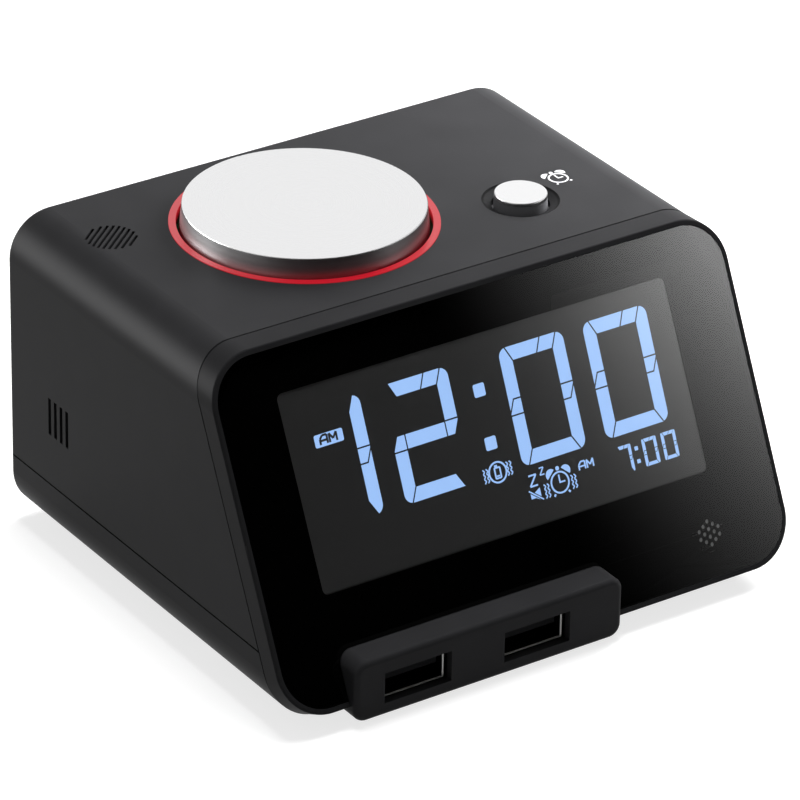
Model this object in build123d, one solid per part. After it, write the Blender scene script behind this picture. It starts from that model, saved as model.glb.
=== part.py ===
from build123d import *
import math
import os

# Bed shaker alarm clock: a wedge-shaped case with a tilted display, a dial and a button on
# top, and a shelf with two charging sockets in front.
# Millimetres. +X is the viewer's right, +Y the back, +Z up, origin on the floor under the middle.

# Case
BODY_WIDTH = 113.5
BODY_TOP = 64.7
BODY_CORNER = 8.8
BODY_BACK = 49.1
BACK_ROUND = 1.5
WALL = 2.2
SEAM_Z = 14.7
SEAM_GROOVE = 0.35
FOOT_HEIGHT = 2.0

# Front
FRONT_TILT = 25.8
LENS_BOTTOM_Y = -48.4
LENS_BOTTOM_Z = 5.25
LENS_MARGIN = 0.75
LENS_HEIGHT = 65.25
LENS_CORNER = 8.6
LENS_THICK = 1.2
LENS_RECESS = 0.1
MASK_THICK = 0.2
RIM = 1.1
RIM_ROUND = 0.4
BEZEL_DEPTH = 5.3
BEZEL_WALL = 3.0
WINDOW_HEIGHT = 37.5
WINDOW_X = -0.2
WINDOW_V = 38.15
LCD_MARGIN = 10.5
LCD_BORDER = 3.2
LCD_OVERLAP = 2.75
FRAME_WALL = 1.5
SENSOR_MARGIN = 16.2
SENSOR_V = 8.1
DOT_STEP = (1.09, 0.74)
DOT_RADIUS = 0.42

# Dial and button
KNOB_MARGIN = 45.95
KNOB_Y = 17.8
KNOB_RADIUS = 22.9
KNOB_FLARE = 0.5
KNOB_STAND = 3.9
KNOB_ROUND = 0.25
KNOB_TRAVEL = 1.2
RING_INNER = 24.0
RING_OUTER = 25.4
BUTTON_X = 28.4
BUTTON_Y = 3.7
BUTTON_RADIUS = 5.25
BUTTON_TAPER = 0.2
BUTTON_STAND = 1.6
BUTTON_TRAVEL = 1.0
DISH_RADIUS = 7.4
DISH_DEPTH = 2.0

# Openings in the case
GRILLE_MARGIN = 12.05
GRILLE_Y = 31.2
GRILLE_RADIUS = 4.8
GRILLE_ANGLE = 40.0
GRILLE_SLOTS = 9
GRILLE_SLOT_WIDTH = 0.55
VENT_Y = 27.9
VENT_PITCH = 2.05
VENT_COUNT = 4
VENT_WIDTH = 1.0
VENT_LOW = 25.2
VENT_HIGH = 32.9

# Shelf with the charging sockets
SHELF_LEFT = -43.8
SHELF_RIGHT = 15.4
SHELF_FRONT = -50.3
NECK_FRONT = -43.0
SHELF_BACK = -36.5
SHELF_LOW = 1.0
SHELF_HIGH = 13.5
SHELF_CORNER = 2.6
SHELF_ROUND = 1.1
SHELF_GAP = 0.15
PORT_XS = (-30.2, -3.9)
PORT_Z = 6.85
PORT_WIDTH = 14.6
PORT_HEIGHT = 6.3
SHELL_WIDTH = 13.2
SHELL_HEIGHT = 5.7
SHELL_LENGTH = 10.0
SHELL_WALL = 0.35

# Boards, feet and screws
BOARD = 1.6
MAIN_MARGIN = 12.75
MAIN_FRONT = 2.0
MAIN_BACK = 45.0
POST_INSET = 3.0
FOOT_MARGIN = 16.75
FOOT_YS = (-25.0, 41.0)
MAIN_BOARD_Z = 18.0
TOP_BOARD_DROP = 8.5
SCREW_RADIUS = 1.0
SCREW_HEAD = 1.9
CASE_SCREW_RADIUS = 1.3
CASE_SCREW_HEAD = 2.5
CHIP_PLACES = ((-3.0, 19.0), (19.5, 19.0))
CHIP_SIZES = ((14.0, 10.0, 1.6), (7.0, 6.0, 1.4))
CAPACITOR_PLACE = (-28.0, 16.0)
CAPACITOR_RADIUS = 4.0
CAPACITOR_HEIGHT = 11.0

# Back
DC_INSET = 14.0
SHAKER_INSET = 32.0
JACK_RISE = 6.5
SWITCH_INSET = 33.0
SWITCH_TRAVEL = 2.0
SET_INSETS = (19.0, 10.0)
SET_RISE = 5.4
SET_RADIUS = 3.0
SET_STAND = 1.2
SET_TRAVEL = 0.8

# Battery bay
CELL_RADIUS = 5.25
CELL_LENGTH = 44.5
CELL_YS = (20.0, 31.2)
DOOR_HALF = 24.7
DOOR_TONGUE = 1.5
DOOR_FRONT = 12.0

# Derived values
HALF = BODY_WIDTH / 2
LENS_WIDTH = BODY_WIDTH - 2 * LENS_MARGIN
SENSOR_X = LENS_WIDTH / 2 - SENSOR_MARGIN
TILT = math.radians(FRONT_TILT)
FRONT = Plane(
    origin=(0, LENS_BOTTOM_Y, LENS_BOTTOM_Z),
    x_dir=(1, 0, 0),
    z_dir=(0, -math.cos(TILT), math.sin(TILT)),
)
FLOOR_Z = FOOT_HEIGHT + WALL
CEILING = BODY_TOP - WALL
BACK_INSIDE = BODY_BACK - WALL
SIDE_INSIDE = HALF - WALL
MASK_BACK = -(LENS_RECESS + LENS_THICK + MASK_THICK)
LEDGE_BACK = MASK_BACK - 2.2
FRAME_BACK = LEDGE_BACK - 4.7
DISPLAY_BACK = FRAME_BACK - BOARD
KNOB_X = KNOB_MARGIN - HALF
KNOB_TOP = BODY_TOP + KNOB_STAND
GRILLE_X = GRILLE_MARGIN - HALF
TOP_BOARD_Z = BODY_TOP - TOP_BOARD_DROP
TOP_BOARD_TOP = TOP_BOARD_Z + BOARD
COLLAR_LOW = TOP_BOARD_TOP + 2.5
MAIN_TOP = MAIN_BOARD_Z + BOARD
JACK_Z = MAIN_TOP + JACK_RISE
SET_Z = MAIN_TOP + SET_RISE
LCD_HALF = HALF - LCD_MARGIN
LCD_HEIGHT = WINDOW_HEIGHT + 2 * LCD_OVERLAP
LCD_V = WINDOW_V
WINDOW_WIDTH = 2 * (LCD_HALF - LCD_BORDER)
FRAME_HALF = LCD_HALF + 2.5
FRAME_HEIGHT = LCD_HEIGHT + 2 * FRAME_WALL
LIGHT_HEIGHT = LCD_HEIGHT - 4.5
LIGHT_V = LCD_V + 1.75
LIGHT_BACK = LEDGE_BACK - 3.0
STRIP_V = LCD_V - LCD_HEIGHT / 2 + 1.2
STRIP_WIDTH = 2 * LCD_HALF - 8.5
DISPLAY_LOW = LCD_V - FRAME_HEIGHT / 2 - 0.5
BOSS_X = FRAME_HALF + 2.2
BOSS_VS = (LCD_V - 21.0, LCD_V + 14.0)
CASE_POSTS = [(sx * (HALF - 7.0), y) for sx in (-1, 1) for y in (-12.0, BODY_BACK - 5.1)]
MAIN_HALF = HALF - MAIN_MARGIN
DC_X = DC_INSET - MAIN_HALF
SHAKER_X = SHAKER_INSET - MAIN_HALF
SWITCH_X = MAIN_HALF - SWITCH_INSET
SET_XS = [MAIN_HALF - inset for inset in SET_INSETS]
MAIN_POSTS = [(sx * (MAIN_HALF - POST_INSET), y)
              for sx in (-1, 1) for y in (MAIN_FRONT + 4.0, MAIN_BACK - POST_INSET)]
TOP_POSTS = [(KNOB_X - 22.2, KNOB_Y - 22.0), (KNOB_X - 20.2, KNOB_Y + 23.2),
             (BUTTON_X + 4.6, KNOB_Y + 23.2), (BUTTON_X + 5.1, BUTTON_Y - 8.4)]
SHELF_POSTS = [(x, SHELF_BACK + 3.0) for x in (SHELF_LEFT + 7.8, SHELF_RIGHT - 7.4)]
FEET = [(sx * (HALF - FOOT_MARGIN), y) for sx in (-1, 1) for y in FOOT_YS]


def block(x0, x1, y0, y1, z0, z1):
    """A box between the six given limits."""
    middle = Pos((x0 + x1) / 2, (y0 + y1) / 2, (z0 + z1) / 2)
    return middle * Box(x1 - x0, y1 - y0, z1 - z0)


def rod(x, y, z0, z1, radius):
    """An upright cylinder."""
    return Pos(x, y, (z0 + z1) / 2) * Cylinder(radius, z1 - z0)


def rod_back(x, z, y0, y1, radius):
    """A cylinder that runs from front to back."""
    return Pos(x, (y0 + y1) / 2, z) * Rot(90, 0, 0) * Cylinder(radius, y1 - y0)


def tube(x, y, z0, z1, outer, inner):
    """An upright tube."""
    return rod(x, y, z0, z1, outer) - rod(x, y, z0 - 1, z1 + 1, inner)


def front_plate(x, v, width, height, corner, back, front):
    """A rounded plate parallel to the lens, v up the slope, between two depths."""
    outline = FRONT * Pos(x, v, back) * RectangleRounded(width, height, corner)
    return extrude(outline, front - back)


def front_rod(x, v, radius, back, front):
    """A cylinder square to the lens between two depths."""
    return FRONT * Pos(x, v, (back + front) / 2) * Cylinder(radius, front - back)


def slope_at(z, depth):
    """Distance up the slope where a plane parallel to the lens reaches a height."""
    return (z - LENS_BOTTOM_Z - depth * math.sin(TILT)) / math.cos(TILT)


def body_bar(inset, back):
    """The case's rounded section, drawn in by inset and run from the back to past the front."""
    low, high = FOOT_HEIGHT + inset, BODY_TOP - inset
    start = Plane(origin=(0, back, (low + high) / 2), x_dir=(1, 0, 0), z_dir=(0, -1, 0))
    outline = start * RectangleRounded(BODY_WIDTH - 2 * inset, high - low, BODY_CORNER - inset)
    return extrude(outline, back - SHELF_FRONT + 20)


def behind_seam(shape):
    """Cuts off what lies in front of the joint between case and bezel."""
    return shape - FRONT * Pos(0, 30, 60 - BEZEL_DEPTH) * Box(400, 400, 120)


def case_shell():
    """Outer case as one hollow body, before it is parted at the seam."""
    bar = body_bar(0, BODY_BACK)
    bar = fillet(bar.faces().sort_by(Axis.Y)[-1].edges(), BACK_ROUND)
    return behind_seam(bar - body_bar(WALL, BACK_INSIDE))


def grille_slots():
    """Slanting slots inside a circle, cut through the top."""
    slots = []
    pitch = 2 * GRILLE_RADIUS / GRILLE_SLOTS
    for i in range(GRILLE_SLOTS):
        off = (i - (GRILLE_SLOTS - 1) / 2) * pitch
        reach = 2 * math.sqrt(GRILLE_RADIUS**2 - off**2)
        slots.append(Pos(0, off, 0) * Box(reach, GRILLE_SLOT_WIDTH, 4 * WALL))
    return [Pos(GRILLE_X, GRILLE_Y, BODY_TOP) * Rot(0, 0, GRILLE_ANGLE) * s for s in slots]


def side_vents():
    """Upright slots through the left wall."""
    vents = []
    for i in range(VENT_COUNT):
        y = VENT_Y + i * VENT_PITCH
        vents.append(block(-HALF - 1, -SIDE_INSIDE + 1, y - VENT_WIDTH / 2, y + VENT_WIDTH / 2,
                           VENT_LOW, VENT_HIGH))
    return vents


def back_openings():
    """Holes in the back wall for jacks, switch and buttons."""
    y0, y1 = BACK_INSIDE - 1, BODY_BACK + 1
    cuts = [rod_back(DC_X, JACK_Z, y0, y1, 4.2), rod_back(SHAKER_X, JACK_Z, y0, y1, 3.4)]
    reach = 1.5 + SWITCH_TRAVEL + 0.35
    cuts.append(block(SWITCH_X - reach, SWITCH_X + reach, y0, y1, SET_Z - 1.85, SET_Z + 1.85))
    cuts += [rod_back(x, SET_Z, y0, y1, SET_RADIUS + 0.35) for x in SET_XS]
    return cuts


def upper_housing():
    """Top, sides and back of the case, with its posts and openings."""
    shell = case_shell() - block(-HALF - 1, HALF + 1, -90, BODY_BACK + 1, -1, SEAM_Z)
    shell += tube(KNOB_X, KNOB_Y, COLLAR_LOW, CEILING + 0.5, RING_OUTER + 1.8, RING_OUTER)
    shell += tube(GRILLE_X, GRILLE_Y, CEILING - 1.7, CEILING + 0.5, 7.0, GRILLE_RADIUS + 0.4)
    for x, y in TOP_POSTS:
        shell += rod(x, y, TOP_BOARD_TOP, CEILING + 0.5, 2.6)
    for x, y in CASE_POSTS:
        side = math.copysign(1, x)
        web = sorted((x, side * (SIDE_INSIDE + 0.5)))
        shell += rod(x, y, SEAM_Z, SEAM_Z + 20, 3.2)
        shell += block(web[0], web[1], y - 1, y + 1, SEAM_Z, SEAM_Z + 20)
    shell -= rod(KNOB_X, KNOB_Y, TOP_BOARD_Z + 1, BODY_TOP + 1, RING_OUTER)
    shell -= rod(BUTTON_X, BUTTON_Y, CEILING - 1, BODY_TOP + 1, BUTTON_RADIUS + 0.35)
    dish = (DISH_RADIUS**2 + DISH_DEPTH**2) / (2 * DISH_DEPTH)
    shell -= Pos(BUTTON_X, BUTTON_Y, BODY_TOP - DISH_DEPTH + dish) * Sphere(dish)
    for x, y in TOP_POSTS:
        shell -= rod(x, y, TOP_BOARD_Z, BODY_TOP - 1.2, SCREW_RADIUS + 0.05)
    for x, y in CASE_POSTS:
        shell -= rod(x, y, SEAM_Z - 1, SEAM_Z + 13, CASE_SCREW_RADIUS + 0.05)
    for cut in grille_slots() + side_vents() + back_openings():
        shell -= cut
    return shell


def door_slot():
    """Space in the floor in which the battery door slides, open at the back."""
    wide = DOOR_HALF + DOOR_TONGUE + 0.3
    front, back = DOOR_FRONT - 0.3, BODY_BACK + 1
    slot = block(-DOOR_HALF - 0.3, DOOR_HALF + 0.3, front, back, 0, FOOT_HEIGHT + 1)
    return slot + block(-wide, wide, front, back, FOOT_HEIGHT + 0.5, FOOT_HEIGHT + 1.9)


def battery_box():
    """Walls and roof round the cells, and the thick rails for the door."""
    y0, y1 = CELL_YS[0] - CELL_RADIUS - 0.35, CELL_YS[1] + CELL_RADIUS + 0.35
    x1, roof = CELL_LENGTH / 2 + 3.0, FLOOR_Z + 2 * CELL_RADIUS + 0.35
    rails = block(-DOOR_HALF - 4.3, DOOR_HALF + 4.3, DOOR_FRONT - 2, BACK_INSIDE + 0.5,
                  FLOOR_Z - 0.5, FLOOR_Z + 1.2)
    box = block(-x1 - 1.2, x1 + 1.2, y0 - 1.2, y1 + 1.2, FLOOR_Z - 0.5, roof + 1.2)
    room = block(-x1, x1, y0, y1, 0, roof)
    return rails + box, room


def bottom_cover():
    """Tray under the seam, with the battery bay, screw bosses and board posts."""
    tray = case_shell() - block(-HALF - 1, HALF + 1, -90, BODY_BACK + 1, SEAM_Z, BODY_TOP + 1)
    walls, room = battery_box()
    tray += walls
    for x, y in MAIN_POSTS:
        tray += rod(x, y, FLOOR_Z - 0.5, MAIN_BOARD_Z, 2.6)
    for x, y in CASE_POSTS:
        side = math.copysign(1, x)
        web = sorted((x, side * (SIDE_INSIDE + 0.5)))
        tray += rod(x, y, FLOOR_Z - 0.5, SEAM_Z, 3.6)
        tray += block(web[0], web[1], y - 1, y + 1, SEAM_Z - 5, SEAM_Z)
    for x, y in SHELF_POSTS:
        tray += rod(x, y, FLOOR_Z - 0.5, FLOOR_Z + 2, 3.0)
    for side in (-1, 1):
        for y in (-4.0, 22.0):
            x = sorted((side * (SIDE_INSIDE - 1.5), side * (SIDE_INSIDE - 0.15)))
            tray += block(x[0], x[1], y, y + 10, SEAM_Z - 4, SEAM_Z + 2.5)
            x = sorted((side * (SIDE_INSIDE - 1.5), side * (SIDE_INSIDE + 0.5)))
            tray += block(x[0], x[1], y, y + 10, SEAM_Z - 4, SEAM_Z - 1)
    tray -= room
    tray -= door_slot()
    tray -= shelf_envelope(SHELF_GAP)
    for x, y in CASE_POSTS:
        tray -= rod(x, y, 0, FLOOR_Z + 3.0, CASE_SCREW_HEAD + 0.3)
        tray -= rod(x, y, 0, SEAM_Z + 1, CASE_SCREW_RADIUS + 0.05)
    for x, y in MAIN_POSTS:
        tray -= rod(x, y, MAIN_BOARD_Z - 5, MAIN_BOARD_Z + 1, SCREW_RADIUS + 0.05)
    for x, y in SHELF_POSTS:
        tray -= rod(x, y, FOOT_HEIGHT + 0.6, FLOOR_Z + 3, SCREW_RADIUS + 0.05)
    for x, y in FEET:
        tray -= rod(x, y, 0, FOOT_HEIGHT + 0.4, 5.05)
    tray -= seam_groove()
    return tray


def seam_groove():
    """Narrow shadow line round the top edge of the tray."""
    low = SEAM_Z - SEAM_GROOVE
    ring = block(-HALF - 1, HALF + 1, -90, BODY_BACK + 1, low, SEAM_Z + 1)
    inside = HALF - SEAM_GROOVE
    return ring - block(-inside, inside, -90, BODY_BACK - SEAM_GROOVE, low - 1, SEAM_Z + 2)


def bezel_block():
    """Outer form of the bezel: the case's section at the seam, the lens and its rim in front."""
    low, high = slope_at(FOOT_HEIGHT, -BEZEL_DEPTH), slope_at(BODY_TOP, -BEZEL_DEPTH)
    section = RectangleRounded(BODY_WIDTH, high - low, BODY_CORNER + 0.4)
    back = FRONT * Pos(0, (low + high) / 2, -BEZEL_DEPTH) * section
    face = FRONT * Pos(0, LENS_HEIGHT / 2, 0) * RectangleRounded(
        LENS_WIDTH + 2 * RIM, LENS_HEIGHT + 2 * RIM, LENS_CORNER + RIM)
    solid = loft([back, face], ruled=True)
    front = max(solid.faces(), key=lambda f: FRONT.to_local_coords(f.center()).Z)
    return fillet(front.edges(), RIM_ROUND)


def bezel_groove():
    """Narrow shadow line where the bezel meets the case."""
    low, high = slope_at(FOOT_HEIGHT, -BEZEL_DEPTH), slope_at(BODY_TOP, -BEZEL_DEPTH)
    middle, tall = (low + high) / 2, high - low
    back, front = -BEZEL_DEPTH - 1, -BEZEL_DEPTH + SEAM_GROOVE
    outer = front_plate(0, middle, BODY_WIDTH + 4, tall + 4, BODY_CORNER, back, front)
    inner = front_plate(0, middle, BODY_WIDTH - 2 * SEAM_GROOVE, tall - 2 * SEAM_GROOVE, BODY_CORNER,
                        back - 1, front + 1)
    return outer - inner


def front_bezel():
    """Frame that holds the lens and the display module."""
    frame = bezel_block()
    room_low, room_high = slope_at(FLOOR_Z + 0.4, LEDGE_BACK), slope_at(CEILING, -BEZEL_DEPTH)
    frame -= front_plate(0, (room_low + room_high) / 2, BODY_WIDTH - 2 * BEZEL_WALL, room_high - room_low,
                         BODY_CORNER - BEZEL_WALL, -BEZEL_DEPTH - 1, LEDGE_BACK)
    frame -= front_plate(0, LENS_HEIGHT / 2, LENS_WIDTH + 0.1, LENS_HEIGHT + 0.1, LENS_CORNER, MASK_BACK, 5)
    frame -= front_plate(0, LCD_V, 2 * LCD_HALF + 1, LCD_HEIGHT + 1, 1, LEDGE_BACK - 1, MASK_BACK + 1)
    frame -= front_rod(SENSOR_X, SENSOR_V, 3.9, LEDGE_BACK - 1, MASK_BACK + 1)
    for side in (-1, 1):
        for v in BOSS_VS:
            frame += front_rod(side * BOSS_X, v, 2.1, FRAME_BACK, LEDGE_BACK + 0.5)
            frame -= front_rod(side * BOSS_X, v, SCREW_RADIUS + 0.05, FRAME_BACK - 1, LEDGE_BACK + 1.2)
        x = side * (SIDE_INSIDE - 0.75)
        frame += front_plate(x, LENS_HEIGHT / 2, 1.2, 22, 0.3, -BEZEL_DEPTH - 3, LEDGE_BACK + 0.5)
    frame -= shelf_envelope(SHELF_GAP)
    return frame - bezel_groove()


def front_lens():
    """Clear sheet over the whole front, notched for the shelf."""
    sheet = front_plate(0, LENS_HEIGHT / 2, LENS_WIDTH, LENS_HEIGHT, LENS_CORNER,
                        -LENS_RECESS - LENS_THICK, -LENS_RECESS)
    return sheet - shelf_envelope(SHELF_GAP)


def dot_places():
    """Dots of the sensor field: a slanting lattice of four rows, three or four dots each."""
    across, up = DOT_STEP
    places = []
    for row, (start, count) in enumerate(((0, 3), (0, 4), (0, 4), (1, 3))):
        for i in range(start, start + count):
            places.append((SENSOR_X + across * (i - row + 0.25), SENSOR_V - up * (i + row - 3)))
    return places


def lens_mask():
    """Black film behind the lens, with the display window and the dot field."""
    film = front_plate(0, LENS_HEIGHT / 2, LENS_WIDTH, LENS_HEIGHT, LENS_CORNER,
                       MASK_BACK, MASK_BACK + MASK_THICK)
    film -= front_plate(WINDOW_X, WINDOW_V, WINDOW_WIDTH, WINDOW_HEIGHT, 1.2,
                        MASK_BACK - 1, MASK_BACK + 1)
    for x, v in dot_places():
        film -= front_rod(x, v, DOT_RADIUS, MASK_BACK - 1, MASK_BACK + 1)
    return film - shelf_envelope(SHELF_GAP)


def lcd_panel():
    """Display glass."""
    return front_plate(0, LCD_V, 2 * LCD_HALF, LCD_HEIGHT, 0.5, LEDGE_BACK, MASK_BACK)


def backlight_panel():
    """Light guide behind the display glass."""
    return front_plate(0, LIGHT_V, 2 * LCD_HALF - 2, LIGHT_HEIGHT, 0.5, LIGHT_BACK, LEDGE_BACK)


def lcd_frame():
    """Holder that carries glass and light guide on the display board."""
    frame = front_plate(0, LCD_V, 2 * FRAME_HALF, FRAME_HEIGHT, 1, FRAME_BACK, LEDGE_BACK)
    wide = 2 * LCD_HALF
    frame -= front_plate(0, LIGHT_V, wide - 1.6, LIGHT_HEIGHT + 0.4, 0.5, LIGHT_BACK, LEDGE_BACK + 1)
    frame -= front_plate(0, LIGHT_V, wide - 8, LIGHT_HEIGHT - 5.5, 0.5, FRAME_BACK - 1, LEDGE_BACK)
    return frame - front_plate(0, STRIP_V, STRIP_WIDTH + 0.3, 1.8, 0.3, FRAME_BACK - 1, LEDGE_BACK + 1)


def lcd_connector():
    """Rubber strip that joins the display glass to its board."""
    return front_plate(0, STRIP_V, STRIP_WIDTH, 1.5, 0.3, FRAME_BACK, LEDGE_BACK)


def display_board():
    """Board behind the display, with a tab that carries the light sensor."""
    top = LCD_V + FRAME_HEIGHT / 2 + 0.5
    middle = (DISPLAY_LOW + top) / 2
    board = front_plate(0, middle, 2 * BOSS_X + 3.4, top - DISPLAY_LOW, 1, DISPLAY_BACK, FRAME_BACK)
    tab_low = SENSOR_V - 3.8
    tab_high = DISPLAY_LOW + 3
    tab_middle = (tab_low + tab_high) / 2
    board += front_plate(SENSOR_X, tab_middle, 12, tab_high - tab_low, 1, DISPLAY_BACK, FRAME_BACK)
    for side in (-1, 1):
        for v in BOSS_VS:
            board -= front_rod(side * BOSS_X, v, SCREW_RADIUS + 0.05, DISPLAY_BACK - 1, FRAME_BACK + 1)
    return board


def sensor_pipe():
    """Light pipe from the dot field to the board."""
    return front_rod(SENSOR_X, SENSOR_V, 3.6, FRAME_BACK, MASK_BACK)


def shelf_envelope(gap):
    """Outer form of the shelf: rounded front block and the neck that goes into the case."""
    x0, x1 = SHELF_LEFT - gap, SHELF_RIGHT + gap
    z0, z1 = SHELF_LOW - gap, SHELF_HIGH + gap
    start = Plane(origin=((x0 + x1) / 2, NECK_FRONT, (z0 + z1) / 2), x_dir=(1, 0, 0), z_dir=(0, -1, 0))
    outline = start * RectangleRounded(x1 - x0, z1 - z0, SHELF_CORNER + gap)
    head = extrude(outline, NECK_FRONT - SHELF_FRONT + gap)
    neck = block(x0 + 1.5, x1 - 1.5, NECK_FRONT - 1, SHELF_BACK + gap,
                 FOOT_HEIGHT - gap, SHELF_HIGH - 0.9 + gap)
    return head + neck


def usb_shelf():
    """Block in front of the lens that holds the charging sockets."""
    shelf = shelf_envelope(0)
    front = shelf.faces().sort_by(Axis.Y)[0]
    shelf = fillet(front.edges(), SHELF_ROUND)
    shelf -= block(SHELF_LEFT + 2.8, SHELF_RIGHT - 2.8, SHELF_FRONT + 1.6, SHELF_BACK + 1,
                   FOOT_HEIGHT + 1.2, SHELF_HIGH - 2.2)
    for x in PORT_XS:
        shelf -= block(x - PORT_WIDTH / 2, x + PORT_WIDTH / 2, SHELF_FRONT - 1, SHELF_FRONT + 2,
                       PORT_Z - PORT_HEIGHT / 2, PORT_Z + PORT_HEIGHT / 2)
    for x, y in SHELF_POSTS:
        shelf += block(x - 4, x + 4, SHELF_BACK - 2, SHELF_BACK, FOOT_HEIGHT + 0.5, FLOOR_Z + 3.6)
        shelf += block(x - 4, x + 4, SHELF_BACK - 1, y + 4, FLOOR_Z + 2, FLOOR_Z + 3.6)
        shelf -= rod(x, y, FLOOR_Z, FLOOR_Z + 6, SCREW_RADIUS + 0.15)
    return shelf


def shell_limits(x, wall):
    """Limits of one socket shell, drawn in by wall."""
    return (x - SHELL_WIDTH / 2 + wall, x + SHELL_WIDTH / 2 - wall,
            PORT_Z - SHELL_HEIGHT / 2 + wall, PORT_Z + SHELL_HEIGHT / 2 - wall)


def usb_shells():
    """Metal shells of the two sockets."""
    front = SHELF_FRONT + 1.6
    shells = []
    for x in PORT_XS:
        a, b, c, d = shell_limits(x, 0)
        e, f, g, h = shell_limits(x, SHELL_WALL)
        shells.append(block(a, b, front, front + SHELL_LENGTH, c, d)
                      - block(e, f, front - 1, front + SHELL_LENGTH - SHELL_WALL, g, h))
    return Compound(children=shells)


def usb_tongues():
    """Plastic tongues and rear blocks inside the sockets."""
    front = SHELF_FRONT + 1.6
    tongues = []
    for x in PORT_XS:
        e, f, g, h = shell_limits(x, SHELL_WALL)
        back = front + SHELL_LENGTH - SHELL_WALL
        tongues.append(block(e, f, back - 2.5, back, g, h)
                       + block(x - 5.55, x + 5.55, front + 1.0, back - 1, h - 2.4, h - 0.6))
    return Compound(children=tongues)


def usb_contacts():
    """Four sprung contacts under each tongue."""
    front = SHELF_FRONT + 1.6
    end = front + SHELL_LENGTH - 4.0
    under = PORT_Z + SHELL_HEIGHT / 2 - SHELL_WALL - 2.4
    pins = []
    for x in PORT_XS:
        for i in range(4):
            middle = x + (i - 1.5) * 2.2
            pins.append(block(middle - 0.5, middle + 0.5, front + 1.8, end, under - 0.2, under))
    return Compound(children=pins)


def usb_board():
    """Board above the sockets, inside the shelf."""
    low = PORT_Z + SHELL_HEIGHT / 2
    return block(SHELF_LEFT + 3.0, SHELF_RIGHT - 3.0, SHELF_FRONT + 2.2, SHELF_BACK - 0.5, low, low + BOARD)


def knob_cap():
    """Satin metal dial: a shallow cup, a little wider at its foot."""
    foot = BODY_TOP - 1.4
    tall = KNOB_TOP - foot
    outer = Pos(KNOB_X, KNOB_Y, foot + tall / 2) * Cone(KNOB_RADIUS + KNOB_FLARE, KNOB_RADIUS, tall)
    outer = fillet(outer.faces().sort_by(Axis.Z)[-1].edges(), KNOB_ROUND)
    return outer - rod(KNOB_X, KNOB_Y, foot - 1, KNOB_TOP - 1.2, KNOB_RADIUS - 1.2)


def knob_carrier():
    """Plastic hub that holds the dial on its shaft."""
    under = KNOB_TOP - 1.2
    plate = rod(KNOB_X, KNOB_Y, under - 1.8, under, KNOB_RADIUS - 1.2)
    hub = rod(KNOB_X, KNOB_Y, under - 3.4, under, 6.0)
    return plate + hub - shaft_form()


def shaft_form():
    """Encoder shaft with a flat that carries the turn into the rotor."""
    foot = TOP_BOARD_TOP + KNOB_TRAVEL + 0.4
    shaft = rod(KNOB_X, KNOB_Y, foot, KNOB_TOP - 2.0, 3.0)
    return shaft - block(KNOB_X - 4, KNOB_X + 4, KNOB_Y + 1.8, KNOB_Y + 4, foot - 1, KNOB_TOP)


def encoder_rotor():
    """Contact wheel that turns with the shaft and lets it slide."""
    low = TOP_BOARD_TOP + 2.0
    wheel = rod(KNOB_X, KNOB_Y, low, low + 1.4, 4.8) - rod(KNOB_X, KNOB_Y, low - 1, low + 3, 3.05)
    return wheel + (rod(KNOB_X, KNOB_Y, low, low + 1.4, 3.6)
                    & block(KNOB_X - 4, KNOB_X + 4, KNOB_Y + 1.85, KNOB_Y + 4, low, low + 1.4))


def encoder_body():
    """Encoder case on the top board."""
    low = TOP_BOARD_TOP
    case = block(KNOB_X - 6.5, KNOB_X + 6.5, KNOB_Y - 6.5, KNOB_Y + 6.5, low, low + 4.4)
    case -= rod(KNOB_X, KNOB_Y, low + 1.7, low + 3.7, 5.1)
    return case - rod(KNOB_X, KNOB_Y, low + 0.4, low + 6, 3.06)


def light_ring():
    """Translucent ring round the dial, with a foot that rests under the collar."""
    low = COLLAR_LOW - 1.2
    ring = tube(KNOB_X, KNOB_Y, low, BODY_TOP + 0.15, RING_OUTER - 0.03, RING_INNER)
    return ring + tube(KNOB_X, KNOB_Y, low, COLLAR_LOW, RING_OUTER + 1.6, RING_INNER)


def ring_leds():
    """Small lamps under the ring."""
    lamps = []
    middle = (RING_INNER + RING_OUTER) / 2
    for i in range(8):
        turn = math.radians(22.5 + 45 * i)
        x, y = KNOB_X + middle * math.cos(turn), KNOB_Y + middle * math.sin(turn)
        lamps.append(block(x - 1, x + 1, y - 1, y + 1, TOP_BOARD_TOP, TOP_BOARD_TOP + 0.9))
    return Compound(children=lamps)


def top_board():
    """Board under the top, for dial, lamps and small button."""
    x0, x1 = KNOB_X - RING_OUTER - 1.0, BUTTON_X + DISH_RADIUS + 1.6
    y0, y1 = BUTTON_Y - DISH_RADIUS - 4.8, KNOB_Y + RING_OUTER + 1.8
    board = block(x0, x1, y0, y1, TOP_BOARD_Z, TOP_BOARD_TOP)
    for x, y in TOP_POSTS:
        board -= rod(x, y, TOP_BOARD_Z - 1, TOP_BOARD_TOP + 1, SCREW_RADIUS + 0.05)
    return board


def alarm_button_body():
    """Black plunger of the small button, held under the top by its flange."""
    low = CEILING - 0.8
    tall = BODY_TOP + BUTTON_STAND - 0.8 - low
    plunger = Cone(BUTTON_RADIUS - 0.05, BUTTON_RADIUS - BUTTON_TAPER, tall)
    flange = rod(BUTTON_X, BUTTON_Y, low, low + 0.7, BUTTON_RADIUS + 1.15)
    return Pos(BUTTON_X, BUTTON_Y, low + tall / 2) * plunger + flange


def alarm_button_disc():
    """Metal disc on the small button."""
    top = BODY_TOP + BUTTON_STAND
    disc = rod(BUTTON_X, BUTTON_Y, top - 0.8, top, BUTTON_RADIUS - BUTTON_TAPER)
    return fillet(disc.faces().sort_by(Axis.Z)[-1].edges(), 0.3)


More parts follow.
